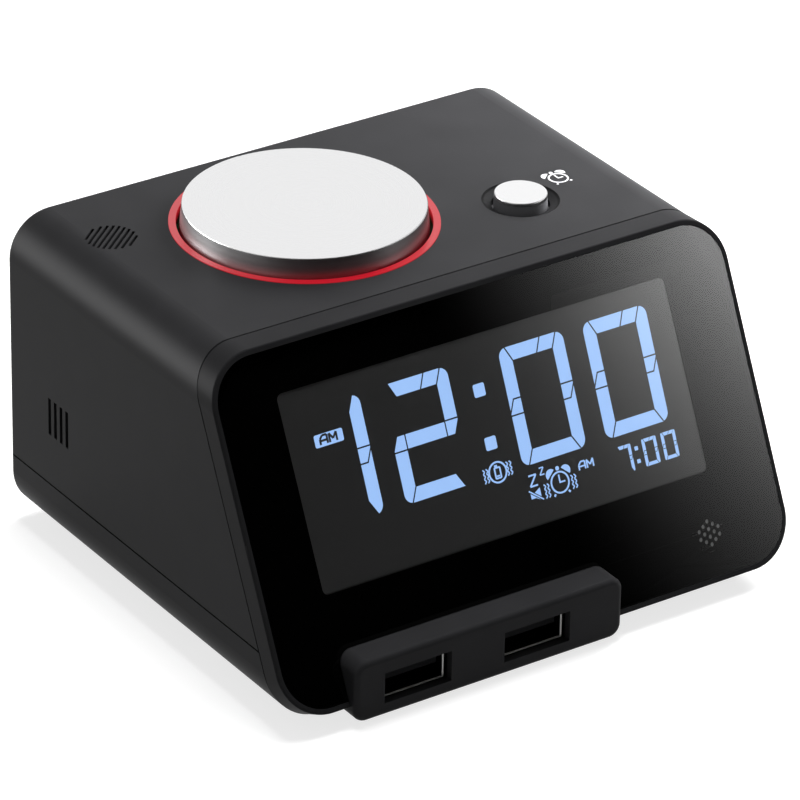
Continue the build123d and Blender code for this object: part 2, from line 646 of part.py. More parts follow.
def alarm_stem():
    """Stem of the switch, which goes down with the small button."""
    return rod(BUTTON_X, BUTTON_Y, TOP_BOARD_TOP + 0.6 + BUTTON_TRAVEL, CEILING - 0.8, 1.4)


def alarm_switch():
    """Switch under the small button."""
    low = TOP_BOARD_TOP
    top = CEILING - 0.8 - BUTTON_TRAVEL - 0.2
    case = block(BUTTON_X - 3, BUTTON_X + 3, BUTTON_Y - 3, BUTTON_Y + 3, low, top)
    return case - rod(BUTTON_X, BUTTON_Y, low + 0.4, top + 1, 1.7)


def speaker_basket():
    """Frame of the loudspeaker under the top grille."""
    top = CEILING - 1.7
    cup = Pos(GRILLE_X, GRILLE_Y, top - 2.6) * Cone(4.2, 6.4, 2.8)
    bowl = Pos(GRILLE_X, GRILLE_Y, top - 2.2) * Cone(3.4, 5.8, 2.8)
    flange = rod(GRILLE_X, GRILLE_Y, top - 1.2, top, 7.0)
    return flange + cup - bowl - rod(GRILLE_X, GRILLE_Y, top - 1.0, top + 1, 5.8)


def speaker_cone():
    """Paper cone of the loudspeaker."""
    top = CEILING - 1.7
    outer = Pos(GRILLE_X, GRILLE_Y, top - 1.0) * Cone(2.2, 5.8, 1.8)
    return outer - Pos(GRILLE_X, GRILLE_Y, top - 0.6) * Cone(2.2, 5.8, 1.8)


def speaker_magnet():
    """Magnet pot of the loudspeaker."""
    top = CEILING - 1.7
    return rod(GRILLE_X, GRILLE_Y, top - 7.0, top - 4.0, 4.6)


def main_board():
    """Main board on its posts in the tray."""
    board = block(-MAIN_HALF, MAIN_HALF, MAIN_FRONT, MAIN_BACK, MAIN_BOARD_Z, MAIN_TOP)
    for x, y in MAIN_POSTS:
        board -= rod(x, y, MAIN_BOARD_Z - 1, MAIN_TOP + 1, SCREW_RADIUS + 0.05)
    return board


def board_chips():
    """Larger parts on the main board."""
    parts = [rod(*CAPACITOR_PLACE, MAIN_TOP, MAIN_TOP + CAPACITOR_HEIGHT, CAPACITOR_RADIUS)]
    for (x, y), (wide, deep, tall) in zip(CHIP_PLACES, CHIP_SIZES):
        parts.append(Pos(x, y, MAIN_TOP + tall / 2) * Box(wide, deep, tall))
    return Compound(children=parts)


def ribbon_sockets():
    """Sockets at the two ends of the display ribbon."""
    front = front_plate(0, LCD_V - 15.5, 18, 5, 0.3, DISPLAY_BACK - 3, DISPLAY_BACK)
    return Compound(children=[front, block(-9, 9, 4, 9, MAIN_TOP, MAIN_TOP + 3)])


def ribbon(start, middle, end, width, x):
    """Flat cable bent along an arc between two points in the side view."""
    path = ThreePointArc((x, *start), (x, *middle), (x, *end))
    section = Plane(origin=path @ 0, x_dir=(1, 0, 0), z_dir=path % 0) * Rectangle(width, 0.3)
    return sweep(section, path)


def display_ribbon():
    """Ribbon from the display board to the main board."""
    face = FRONT.from_local_coords((0, LCD_V - 15.5, DISPLAY_BACK - 2.5))
    start = (face.Y, face.Z)
    end = (4.5, MAIN_TOP + 1.5)
    middle = ((start[0] + end[0]) / 2, min(start[1], end[1]) - 2.0)
    return ribbon(start, middle, end, 15, 0) - ribbon_sockets()


def usb_ribbon():
    """Ribbon from the socket board to the main board."""
    start = (SHELF_BACK - 1, PORT_Z + SHELL_HEIGHT / 2 + BOARD / 2)
    end = (2.5, MAIN_BOARD_Z + BOARD / 2)
    middle = ((start[0] + end[0]) / 2, (start[1] + end[1]) / 2 - 2.0)
    return ribbon(start, middle, end, 8, -24) - usb_board() - main_board()


def dc_jack():
    """Inlet for the mains adapter."""
    y1 = BACK_INSIDE - 0.1
    body = block(DC_X - 4.5, DC_X + 4.5, y1 - 14, y1, MAIN_TOP, JACK_Z + 4.5)
    body += rod_back(DC_X, JACK_Z, y1 - 1, BODY_BACK - 0.3, 3.9)
    body -= rod_back(DC_X, JACK_Z, y1 - 8, BODY_BACK + 1, 2.75)
    return body - dc_pin()


def dc_pin():
    """Centre pin of the inlet."""
    return rod_back(DC_X, JACK_Z, BACK_INSIDE - 11, BODY_BACK - 1.3, 1.0)


def shaker_jack():
    """Socket for the plug of the shaker."""
    y1 = BACK_INSIDE - 0.1
    body = block(SHAKER_X - 4, SHAKER_X + 4, y1 - 14, y1, MAIN_TOP, JACK_Z + 4)
    body -= rod_back(SHAKER_X, JACK_Z, y1 - 12, BODY_BACK + 1, 1.8)
    return body - rod_back(SHAKER_X, JACK_Z, y1 - 3, BODY_BACK + 1, 3.1)


def shaker_collar():
    """Metal collar of the shaker socket."""
    y1 = BACK_INSIDE - 0.1
    return rod_back(SHAKER_X, JACK_Z, y1 - 3, BODY_BACK + 0.5, 3.1) - rod_back(
        SHAKER_X, JACK_Z, y1 - 4, BODY_BACK + 1, 1.8)


def mode_switch():
    """Case of the slide switch for buzzer or shaker."""
    y1 = BACK_INSIDE - 0.4
    case = block(SWITCH_X - 7, SWITCH_X + 7, y1 - 7, y1, MAIN_TOP, SET_Z + 3)
    reach = 3.0 + SWITCH_TRAVEL + 0.3
    case -= block(SWITCH_X - reach, SWITCH_X + reach, y1 - 4.3, y1 - 0.7, SET_Z - 2.3, SET_Z + 2.3)
    reach = 1.5 + SWITCH_TRAVEL + 0.3
    return case - block(SWITCH_X - reach, SWITCH_X + reach, y1 - 3, y1 + 1, SET_Z - 1.8, SET_Z + 1.8)


def mode_slider():
    """Sliding tab of that switch."""
    y1 = BACK_INSIDE - 0.4
    tab = block(SWITCH_X - 1.5, SWITCH_X + 1.5, y1 - 3, BODY_BACK + 0.8, SET_Z - 1.5, SET_Z + 1.5)
    return tab + block(SWITCH_X - 3, SWITCH_X + 3, y1 - 4, y1 - 1, SET_Z - 2, SET_Z + 2)


def set_button(x):
    """Round button at the back, held by its flange."""
    y1 = BACK_INSIDE - 0.4
    cap = rod_back(x, SET_Z, y1 - 2, BODY_BACK + SET_STAND, SET_RADIUS)
    cap = fillet(cap.faces().sort_by(Axis.Y)[-1].edges(), 0.4)
    return cap + rod_back(x, SET_Z, y1 - 1.3, y1, SET_RADIUS + 0.9)


def set_stem(x):
    """Stem of the switch behind a round button."""
    y1 = BACK_INSIDE - 2.4
    return rod_back(x, SET_Z, y1 - 3.3, y1, 1.2)


def set_switches():
    """Switches behind the round buttons."""
    y1 = BACK_INSIDE - 2.4
    cases = []
    for x in SET_XS:
        case = block(x - 3, x + 3, y1 - 7.5, y1 - 2, MAIN_TOP, SET_Z + 3)
        cases.append(case - rod_back(x, SET_Z, y1 - 3.3 - SET_TRAVEL - 0.4, y1, 1.5))
    return Compound(children=cases)


def battery_door():
    """Sliding door under the cells."""
    y1 = BODY_BACK - 0.2
    door = block(-DOOR_HALF, DOOR_HALF, DOOR_FRONT, y1, FOOT_HEIGHT + 0.05, FOOT_HEIGHT + 1.6)
    wide = DOOR_HALF + DOOR_TONGUE
    door += block(-wide, wide, DOOR_FRONT, y1, FOOT_HEIGHT + 0.8, FOOT_HEIGHT + 1.6)
    for i in range(5):
        y = y1 - 5 - 1.6 * i
        door -= block(-7, 7, y, y + 0.8, FOOT_HEIGHT - 1, FOOT_HEIGHT + 0.45)
    return door


def battery_cells():
    """Two backup cells, head to tail."""
    cells = []
    z = FLOOR_Z + CELL_RADIUS + 0.05
    for i, y in enumerate(CELL_YS):
        side = 1 if i == 0 else -1
        can = Pos(-side * 0.5, y, z) * Rot(0, 90, 0) * Cylinder(CELL_RADIUS, CELL_LENGTH - 1)
        nub = Pos(side * (CELL_LENGTH / 2 - 0.5), y, z) * Rot(0, 90, 0) * Cylinder(1.9, 1.0)
        cells.append(can + nub)
    return Compound(children=cells)


def battery_contacts():
    """Contact plates and end springs of the two cells."""
    pieces = []
    z = FLOOR_Z + CELL_RADIUS + 0.05
    end = CELL_LENGTH / 2 + 3.0
    for i, y in enumerate(CELL_YS):
        side = 1 if i == 0 else -1
        for way in (-1, 1):
            x = sorted((way * end, way * (end - 0.4)))
            plate = block(x[0], x[1], y - 4, y + 4, z - 4, z + 4)
            head = way == side
            reach = sorted((way * (end - 0.4), way * (CELL_LENGTH / 2)))
            middle = Pos((reach[0] + reach[1]) / 2, y, z) * Rot(0, 90, 0)
            spring = middle * Cylinder(1.6 if head else 3.0, reach[1] - reach[0])
            if not head:
                spring -= middle * Cylinder(2.4, 20)
            pieces.append(plate + spring)
    return Compound(children=pieces)


def rubber_feet():
    """Four round feet under the tray."""
    return Compound(children=[rod(x, y, 0, FOOT_HEIGHT + 0.4, 5.0) for x, y in FEET])


def screw(radius, head, length):
    """Screw with its head above the origin and its shank below."""
    form = rod(0, 0, -length, 0, radius) + rod(0, 0, 0, 1.3, head)
    return form - block(-head, head, -0.3, 0.3, 0.8, 2) - block(-0.3, 0.3, -head, head, 0.8, 2)


def case_screws():
    """Four long screws that close the case from below."""
    form = Rot(180, 0, 0) * screw(CASE_SCREW_RADIUS, CASE_SCREW_HEAD, SEAM_Z + 11.5 - FLOOR_Z - 3.0)
    return Compound(children=[Pos(x, y, FLOOR_Z + 3.0) * form for x, y in CASE_POSTS])


def board_screws():
    """Small screws for the boards and the shelf, all alike."""
    form = screw(SCREW_RADIUS, SCREW_HEAD, 4.6)
    upside = Rot(180, 0, 0) * form
    places = [Pos(x, y, MAIN_TOP) * form for x, y in MAIN_POSTS]
    places += [Pos(x, y, TOP_BOARD_Z) * upside for x, y in TOP_POSTS]
    places += [Pos(x, y, FLOOR_Z + 3.6) * form for x, y in SHELF_POSTS]
    for side in (-1, 1):
        for v in BOSS_VS:
            places.append(FRONT * Pos(side * BOSS_X, v, DISPLAY_BACK) * upside)
    return Compound(children=places)


def save(name, shape):
    """Writes one node."""
    export_step(shape, "parts/" + name + ".step")


def main():
    """Builds and writes every node."""
    os.makedirs("parts", exist_ok=True)
    makers = [
        upper_housing, bottom_cover, front_bezel, front_lens, lens_mask, lcd_panel, backlight_panel,
        lcd_frame, lcd_connector, display_board, sensor_pipe, usb_shelf, usb_shells, usb_tongues,
        usb_contacts, usb_board, knob_cap, knob_carrier, encoder_rotor, encoder_body, light_ring,
        ring_leds, top_board, alarm_button_body, alarm_button_disc, alarm_stem, alarm_switch,
        speaker_basket, speaker_cone, speaker_magnet, main_board, board_chips, ribbon_sockets,
        display_ribbon, usb_ribbon, dc_jack, dc_pin, shaker_jack, shaker_collar, mode_switch,
        mode_slider, set_switches, battery_door, battery_cells, battery_contacts, rubber_feet,
        case_screws, board_screws,
    ]
    for maker in makers:
        save(maker.__name__, maker())
    save("encoder_shaft", shaft_form())
    for i, x in enumerate(SET_XS):
        save("set_button_" + str(i + 1), set_button(x))
        save("set_stem_" + str(i + 1), set_stem(x))


main()
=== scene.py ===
import math

import bpy
from bpy.props import FloatProperty, FloatVectorProperty, PointerProperty
from mathutils import Matrix, Vector


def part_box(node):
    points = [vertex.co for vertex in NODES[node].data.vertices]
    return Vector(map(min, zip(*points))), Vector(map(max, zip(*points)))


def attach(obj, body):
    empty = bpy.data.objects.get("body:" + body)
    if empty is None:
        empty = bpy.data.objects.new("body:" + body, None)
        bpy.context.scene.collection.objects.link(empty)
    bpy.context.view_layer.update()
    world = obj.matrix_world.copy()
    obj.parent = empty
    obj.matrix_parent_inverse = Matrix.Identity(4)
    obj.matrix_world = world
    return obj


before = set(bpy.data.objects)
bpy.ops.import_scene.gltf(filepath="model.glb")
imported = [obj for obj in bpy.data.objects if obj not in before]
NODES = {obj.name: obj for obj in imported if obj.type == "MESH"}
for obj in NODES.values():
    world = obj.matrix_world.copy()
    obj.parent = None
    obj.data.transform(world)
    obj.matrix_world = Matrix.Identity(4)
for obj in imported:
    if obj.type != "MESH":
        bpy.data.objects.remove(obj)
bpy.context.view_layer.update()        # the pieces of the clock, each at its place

bl_info = {
    "name": "Bed Shaker Alarm Clock",
    "version": (1, 0, 0),
    "blender": (4, 5, 0),
    "location": "3D View > Sidebar > Clock",
    "description": "Finishes the case, display and dial of a bedside alarm clock and sets its studio",
    "category": "Object",
}

MM = 0.001
GLASS_SHEEN = 0.36
WHITE = (1, 1, 1, 1)

# Linear colours of the small and the inner pieces
GREY_PLASTIC = (0.32, 0.32, 0.31)
RUBBER = (0.02, 0.02, 0.021)
PLATED_STEEL = (0.62, 0.62, 0.6)
SHELL_PLATING = (0.55, 0.55, 0.53)
GOLD = (0.86, 0.62, 0.27)
CELL_CAN = (0.5, 0.52, 0.55)
BOARD_GREEN = (0.012, 0.12, 0.045)
RIBBON_TAN = (0.5, 0.3, 0.08)
LIGHT_GUIDE = (0.8, 0.82, 0.84)
SENSOR_GREY = (0.16, 0.16, 0.16)
EDGE_BLACK = (0.001, 0.001, 0.001, 1)

# Painted shade in the round recess: how dark the plastic is painted on its floor and at its wall, as shares
# of its colour
RECESS_FLOOR_SHADE = (0.58, 0.58, 0.58)
RECESS_WALL_SHADE = (0.22, 0.22, 0.22)

# Pieces by finish, the aluminium ones with their polish
CASE_PIECES = ("upper_housing", "bottom_cover", "usb_shelf", "battery_door")
ALUMINIUM_PIECES = {"knob_cap": 1.0, "alarm_button_disc": 1.12}
BLACK_PIECES = (
    "set_button_1", "set_button_2", "mode_slider", "mode_switch", "set_switches",
    "alarm_switch", "encoder_body", "dc_jack", "shaker_jack", "ribbon_sockets", "board_chips",
    "speaker_basket",
)
PALE_PIECES = (
    "lcd_frame", "knob_carrier", "encoder_rotor", "alarm_stem", "set_stem_1", "set_stem_2", "speaker_cone",
)
STEEL_PIECES = (
    "speaker_magnet", "case_screws", "board_screws", "encoder_shaft", "dc_pin",
    "shaker_collar", "battery_contacts",
)
BOARD_PIECES = ("display_board", "usb_board", "top_board", "main_board")
RUBBER_PIECES = ("rubber_feet", "lcd_connector")
RIBBON_PIECES = ("display_ribbon", "usb_ribbon")

# Strokes of a figure, named by their place
STROKES = (
    "top_left", "top_right", "upper_right", "right_joint", "lower_right", "bottom", "lower_left",
    "left_joint", "upper_left", "middle",
)
FIGURES = {
    "0": set(STROKES) - {"middle"},
    "1": {"upper_right", "right_joint", "lower_right"},
    "2": set(STROKES) - {"lower_right", "upper_left"},
    "7": {"top_left", "top_right", "upper_right", "right_joint", "lower_right"},
}

# Figures of the display, each with the place of its left edge in millimetres, and their colons
TIME_FIGURES = (("1", -41.3), ("2", -22.1), ("0", 3.75), ("0", 22.7))
TIME_COLON = {"across": -1.74 * MM, "rises": (6.2 * MM, 16.2 * MM), "dot": 2.45 * MM, "round_by": 0.35 * MM}
ALARM_FIGURES = (("7", 24.3), ("0", 30.1), ("0", 34.5))
ALARM_COLON = {"across": 28.77 * MM, "rises": (1.5 * MM, 3.95 * MM), "dot": 0.75 * MM, "round_by": 0.1 * MM}

# Wavy lines of the display: middles of the pairs, and how they swing
TREMBLES = (
    (-4.2 * MM, 31.15 * MM), (1.0 * MM, 31.35 * MM), (7.95 * MM, 25.1 * MM), (14.05 * MM, 25.25 * MM),
)
TREMBLE_HEIGHT = 2.6 * MM
TREMBLE_PITCH = 0.72 * MM
TREMBLE_SWING = 0.38 * MM
TREMBLE_RUNS = 6

# Cards and lamps of the studio in metres
FLOOR_RADIUS = 3.0
LOW_CARD = {"width": 0.7, "height": 0.12, "place": (0, -0.13, 0.06), "target": (0, 0, 0.06)}
HIGH_CARD = {"width": 1.3, "height": 0.485, "place": (0, -0.395, 0.526), "target": (0, -0.03, 0.05)}
EDGE_CARD_SIZE = 0.38
EDGE_CARD_REACH = Vector((-0.4, 0.43, 0.1))
KEY_LAMP = {"place": (0.15, 0.05, 0.13), "target": (0, 0, 0.065), "size": 0.15}
TOP_LAMP = {"place": (0, 0.05, 0.75), "target": (0, 0, 0.04), "size": 0.3}


def length(label, text, value):
    """A size that a user can set, in metres."""
    return FloatProperty(name=label, description=text, default=value, unit="LENGTH", precision=5)


def colour(label, text, value):
    """A linear colour that a user can set."""
    return FloatVectorProperty(name=label, description=text, default=value, subtype="COLOR", min=0, max=1)


def amount(label, text, value):
    """A plain factor that a user can set."""
    return FloatProperty(name=label, description=text, default=value, min=0)


def angle(label, text, degrees):
    """An angle that a user can set."""
    return FloatProperty(name=label, description=text, default=math.radians(degrees), subtype="ANGLE")


class CaseSettings(bpy.types.PropertyGroup):
    """Finish of the moulded and the metal pieces."""

    plastic: colour("Plastic", "Colour of the moulded case", (0.016, 0.016, 0.017))
    plastic_gloss: amount("Plastic roughness", "Roughness of the moulded case", 0.43)
    plastic_sheen: amount("Plastic sheen", "How strongly the moulded case mirrors", 0.035)
    # The plastic is painted darker inside this radius, as shade in the recess
    shaded_recess: length("Recess", "Radius of the smooth recess round the small button", 7.4 * MM)
    grain: length("Grain", "Size of the fine grain of the moulding", 0.35 * MM)
    black: colour("Black plastic", "Colour of buttons and sockets", (0.012, 0.012, 0.013))
    button: colour("Button", "Colour of the small button under its disc", (0.13, 0.13, 0.137))
    aluminium: colour("Aluminium", "Colour of dial and button disc", (0.83, 0.83, 0.835))
    ring: colour("Ring", "Colour of the lit ring round the dial", (0.78, 0.012, 0.03))
    ring_light: amount("Ring light", "Brightness of the lit ring", 0.57)


class DisplaySettings(bpy.types.PropertyGroup):
    """Front window and the figures that light up in it."""

    film: colour("Film", "Colour of the film behind the lens", (0.0006, 0.0006, 0.0006))
    glass: colour("Glass", "Colour of the display glass", (0.024, 0.024, 0.024))
    lit: colour("Lit figures", "Colour of the figures", (0.36, 0.58, 1.0))
    thick: length("Thickness", "Thickness of the figures on the glass", 0.06 * MM)
    turn: angle("Turn", "Turn of the figures on the glass", 0.23)
    lean: amount("Lean", "Sideways lean of the figures per unit of height", 0.02)
    width: length("Width", "Width of a large figure", 14.7 * MM)
    height: length("Height", "Height of a large figure", 22.46 * MM)
    stroke: length("Stroke", "Width of its strokes", 2.95 * MM)
    gap: length("Gap", "Gap between its strokes", 0.3 * MM)
    corner: length("Corner", "Radius of its outer corners", 1.9 * MM)
    base: length("Base", "Height of the large figures over the lower edge of the lens", 30.57 * MM)
    small_width: length("Small width", "Width of a small figure", 3.4 * MM)
    small_height: length("Small height", "Height of a small figure", 5.3 * MM)
    small_stroke: length("Small stroke", "Width of its strokes", 0.78 * MM)
    small_gap: length("Small gap", "Gap between its strokes", 0.14 * MM)
    small_corner: length("Small corner", "Radius of its outer corners", 0.35 * MM)
    small_base: length("Small base", "Height of the small figures over that edge", 23.53 * MM)
    line: length("Line", "Width of the lines in the marks", 0.3 * MM)
    mark: colour("Print", "Colour of the mark printed on the top", (0.42, 0.42, 0.43))


class StageSettings(bpy.types.PropertyGroup):
    """Floor, light and camera."""

    floor: colour("Floor", "Colour of the floor", (0.38, 0.38, 0.38))
    sky_light: amount("Sky", "Even light from all sides", 0.25)
    key_light: amount("Key lamp", "Power of the soft lamp at the right end of the top, in watts", 1.55)
    top_light: amount("Top lamp", "Power of the soft lamp overhead, in watts", 5.6)
    card_light: amount("Card", "Brightness of the card that the lens mirrors", 5.35)
    edge_light: amount("Edge card", "Brightness of the card that the top edge mirrors", 17.0)
    aim: length("Aim height", "Height of the point that the camera looks at", 31.48 * MM)
    aim_side: length("Aim side", "Distance of that point to the right of the middle", -0.19 * MM)
    aim_back: length("Aim depth", "Distance of that point behind the middle", 0.82 * MM)
    distance: length("Distance", "Distance of the camera from that point", 1089.7 * MM)
    azimuth: angle("Azimuth", "Turn of the camera to the left of the front", 34.584)
    elevation: angle("Elevation", "Height of the camera as an angle", 28.694)
    roll: angle("Roll", "Roll of the camera", 1.105)
    focal: FloatProperty(name="Focal length", description="In millimetres on a 36 mm sensor", default=261.5)


# Shading

def new_material(name):
    """An empty node material with its output."""
    made = bpy.data.materials.new(name)
    made.use_nodes = True
    made.node_tree.nodes.clear()
    made.node_tree.nodes.new("ShaderNodeOutputMaterial")
    return made


def add(tree, kind, sockets=None, **options):
    """A node with its options set and its sockets filled or linked."""
    made = tree.nodes.new(kind)
    for key, value in options.items():
        setattr(made, key, value)
    for key, value in (sockets or {}).items():
        if isinstance(value, bpy.types.NodeSocket):
            tree.links.new(value, made.inputs[key])
        else:
            made.inputs[key].default_value = value
    return made


def finish_with(material, shader):
    """Links a shader to the material's output."""
    output = material.node_tree.nodes["Material Output"]
    material.node_tree.links.new(shader.outputs[0], output.inputs["Surface"])
    return material


def blend(tree, share, first, second):
    """Mixes two shaders by a share."""
    return add(tree, "ShaderNodeMixShader", {"Fac": share, 1: first.outputs[0], 2: second.outputs[0]})


def place_in(tree, centre=(0, 0, 0)):
    """Object coordinates measured from a centre."""
    coords = add(tree, "ShaderNodeTexCoord").outputs["Object"]
    start = [-value for value in centre]
    return add(tree, "ShaderNodeMapping", {"Vector": coords, "Location": start}).outputs["Vector"]


def noise(tree, size, vector=None, detail=2.0):
    """Even noise of one grain size."""
    vector = vector or add(tree, "ShaderNodeTexCoord").outputs["Object"]
    sockets = {"Vector": vector, "Scale": 1 / size, "Detail": detail}
    return add(tree, "ShaderNodeTexNoise", sockets).outputs["Fac"]


def between(tree, value, low, high):
    """Spreads a value from 0 to 1 over a range."""
    return add(tree, "ShaderNodeMapRange", {"Value": value, "To Min": low, "To Max": high}).outputs["Result"]


def reached(tree, value, start, end):
    """Rises evenly from 0 to 1 between two values."""
    sockets = {"Value": value, "From Min": start, "From Max": end}
    return add(tree, "ShaderNodeMapRange", sockets).outputs["Result"]


def along(tree, axis):
    """Object coordinate along one axis."""
    return add(tree, "ShaderNodeSeparateXYZ", {0: place_in(tree)}).outputs[axis]


def worked_out(tree, operation, *values):
    """Result of one step of arithmetic on values."""
    return add(tree, "ShaderNodeMath", dict(enumerate(values)), operation=operation).outputs["Value"]


def times(tree, first, second):
    """Product of two values."""
    return worked_out(tree, "MULTIPLY", first, second)


def eased(tree, value, start, end, power):
    """Rises from 0 to 1 between two values, slowly at first."""
    return worked_out(tree, "POWER", reached(tree, value, start, end), power)


def tones(tree, value, dark, light):
    """Blends two colours by a value."""
    ramp = add(tree, "ShaderNodeValToRGB", {"Fac": value})
    ramp.color_ramp.elements[0].position = 0.3
    ramp.color_ramp.elements[1].position = 0.7
    ramp.color_ramp.elements[0].color = (*dark, 1)
    ramp.color_ramp.elements[1].color = (*light, 1)
    return ramp.outputs["Color"]


def relief(tree, height, depth):
    """Bump of a given depth in metres."""
    sockets = {"Height": height, "Strength": 0.6, "Distance": depth}
    return add(tree, "ShaderNodeBump", sockets).outputs["Normal"]


def shade(base, factor):
    """A colour made darker or lighter."""
    return [min(1.0, value * factor) for value in base]


def distance_from(tree, centre):
    """Distance from an upright axis through a centre."""
    flat = add(tree, "ShaderNodeVectorMath", {0: place_in(tree, centre), 1: (1, 1, 0)}, operation="MULTIPLY")
    reach = add(tree, "ShaderNodeVectorMath", {0: flat.outputs["Vector"]}, operation="LENGTH")
    return reach.outputs["Value"]


def painted_recess_shade(tree, tone, centre, radius):
    """A colour with painted shade within a round recess, darkest at its wall."""
    distance = distance_from(tree, centre)
    inside = reached(tree, distance, radius + 0.03 * MM, radius)
    shaded_wall = reached(tree, distance, radius - 0.65 * MM, radius - 0.3 * MM)
    depth = tones(tree, shaded_wall, RECESS_FLOOR_SHADE, RECESS_WALL_SHADE)
    dark = add(tree, "ShaderNodeMix", {6: tone, 7: depth}, data_type="RGBA", blend_type="MULTIPLY")
    tree.links.new(inside, dark.inputs["Factor"])
    return dark.outputs[2]


def moulded(name, base, roughness, grain, sheen=0.5, shaded_recess=None):
    """Moulded plastic with a fine eroded grain, and maybe painted shade in a round recess."""
    made = new_material(name)
    tree = made.node_tree
    cloud = noise(tree, 9 * MM)
    fine = noise(tree, grain, detail=3.0)
    tone = tones(tree, cloud, shade(base, 0.93), shade(base, 1.07))
    principled = add(tree, "ShaderNodeBsdfPrincipled", {
        # Painted shade inside the recess, where one is given
        "Base Color": painted_recess_shade(tree, tone, *shaded_recess) if shaded_recess else tone,
        "Roughness": between(tree, cloud, roughness - 0.025, roughness + 0.025),
        "Specular IOR Level": sheen,
        "Normal": relief(tree, fine, grain * 0.04),
    })
    return finish_with(made, principled)


def turned_metal(name, base, centre, top, roughness):
    """Satin metal with fine lines round a centre on its top, and a wall below with painted shade: the same
    metal much darker.
    """
    made = new_material(name)
    tree = made.node_tree
    height = along(tree, "Z")
    face = reached(tree, height, top - 0.2 * MM, top - 0.02 * MM)
    radius = distance_from(tree, centre)
    lines = add(tree, "ShaderNodeTexNoise", {"W": radius, "Scale": 1 / (0.22 * MM), "Detail": 2.0},
                noise_dimensions="1D").outputs["Fac"]
    principled = add(tree, "ShaderNodeBsdfPrincipled", {
        "Base Color": tones(tree, lines, shade(base, 0.996), base),
        "Metallic": 1.0,
        "Roughness": between(tree, lines, roughness - 0.01, roughness + 0.01),
        "Normal": relief(tree, lines, 0.00003 * MM),
    })
    # The wall: the same metal painted about a third as bright, as painted shade
    shaded_wall = add(tree, "ShaderNodeBsdfPrincipled", {
        "Base Color": tones(tree, lines, shade(base, 0.3), shade(base, 0.34)),
        "Metallic": 1.0,
        "Roughness": between(tree, lines, 0.34, 0.4),
    })
    return finish_with(made, blend(tree, face, shaded_wall, principled))


def metal(name, base, roughness):
    """Plated or rolled metal with faint clouding."""
    made = new_material(name)
    tree = made.node_tree
    cloud = noise(tree, 1.5 * MM, detail=4.0)
    principled = add(tree, "ShaderNodeBsdfPrincipled", {
        "Base Color": tones(tree, cloud, shade(base, 0.9), base),
        "Metallic": 1.0,
        "Roughness": between(tree, cloud, roughness - 0.05, roughness + 0.08),
    })
    return finish_with(made, principled)


def socket_shell(name, base, front):
    """Plated shell of a socket: bright at its rim, with painted shade in the depth behind it."""
    made = new_material(name)
    tree = made.node_tree
    depth = along(tree, "Y")
    # Painted shade: the plating turns dark from just behind the rim
    shaded_deep = reached(tree, depth, front + 0.1 * MM, front + 0.35 * MM)
    principled = add(tree, "ShaderNodeBsdfPrincipled", {
        "Base Color": tones(tree, shaded_deep, base, shade(base, 0.05)),
        "Metallic": 1.0,
        "Roughness": between(tree, noise(tree, 1.5 * MM), 0.28, 0.36),
    })
    return finish_with(made, principled)


def clear_sheet(name, front):
    """Polished clear sheet with blacked edges: light goes straight through, and it mirrors at a glance."""
    made = new_material(name)
    tree = made.node_tree
    geometry = add(tree, "ShaderNodeNewGeometry")
    facing = add(tree, "ShaderNodeVectorMath", {0: geometry.outputs["True Normal"], 1: front},
                 operation="DOT_PRODUCT").outputs["Value"]
    flat = worked_out(tree, "GREATER_THAN", worked_out(tree, "ABSOLUTE", facing), 0.5)
    mirror = add(tree, "ShaderNodeFresnel", {"IOR": 1.5}).outputs["Fac"]
    outside = worked_out(tree, "SUBTRACT", 1.0, geometry.outputs["Backfacing"])
    share = times(tree, mirror, outside)
    haze = between(tree, noise(tree, 20 * MM), 0.015, 0.035)
    gloss = add(tree, "ShaderNodeBsdfGlossy", {"Color": WHITE, "Roughness": haze})
    through = add(tree, "ShaderNodeBsdfTransparent")
    edge = add(tree, "ShaderNodeBsdfDiffuse", {"Color": EDGE_BLACK})
    return finish_with(made, blend(tree, flat, edge, blend(tree, share, through, gloss)))


def bonded_film(name, base):
    """Film bonded to the back of the lens, so it has no gloss of its own."""
    made = new_material(name)
    tree = made.node_tree
    cloud = noise(tree, 4 * MM)
    principled = add(tree, "ShaderNodeBsdfPrincipled", {
        "Base Color": tones(tree, cloud, shade(base, 0.9), base),
        "Roughness": 1.0,
        "Specular IOR Level": 0.0,
    })
    return finish_with(made, principled)


def display_glass(name, base, shade_edge_height):
    """Display glass: even dark grey, with painted shade below a given height along its lower edge."""
    made = new_material(name)
    tree = made.node_tree
    height = along(tree, "Z")
    # Lit above that height, painted shade below it
    lit = reached(tree, height, shade_edge_height - 0.1 * MM, shade_edge_height + 0.25 * MM)
    principled = add(tree, "ShaderNodeBsdfPrincipled", {
        "Base Color": tones(tree, lit, shade(base, 0.2), base),
        "Roughness": between(tree, noise(tree, 0.2 * MM), 0.26, 0.32),
        "Specular IOR Level": GLASS_SHEEN,
    })
    return finish_with(made, principled)


def glowing(name, base, strength, grain, level):
    """Lit plastic: its own light above a level, with slight clouding, under a smooth skin."""
    made = new_material(name)
    tree = made.node_tree
    cloud = noise(tree, grain)
    height = along(tree, "Z")
    light = times(tree, reached(tree, height, level - 2.0 * MM, level), strength)
    principled = add(tree, "ShaderNodeBsdfPrincipled", {
        "Base Color": tones(tree, cloud, shade(base, 0.06), shade(base, 0.08)),
        "Roughness": 0.25,
        "Specular IOR Level": 0.75,
        "Emission Color": tones(tree, cloud, shade(base, 0.96), base),
        "Emission Strength": light,
    })
    return finish_with(made, principled)


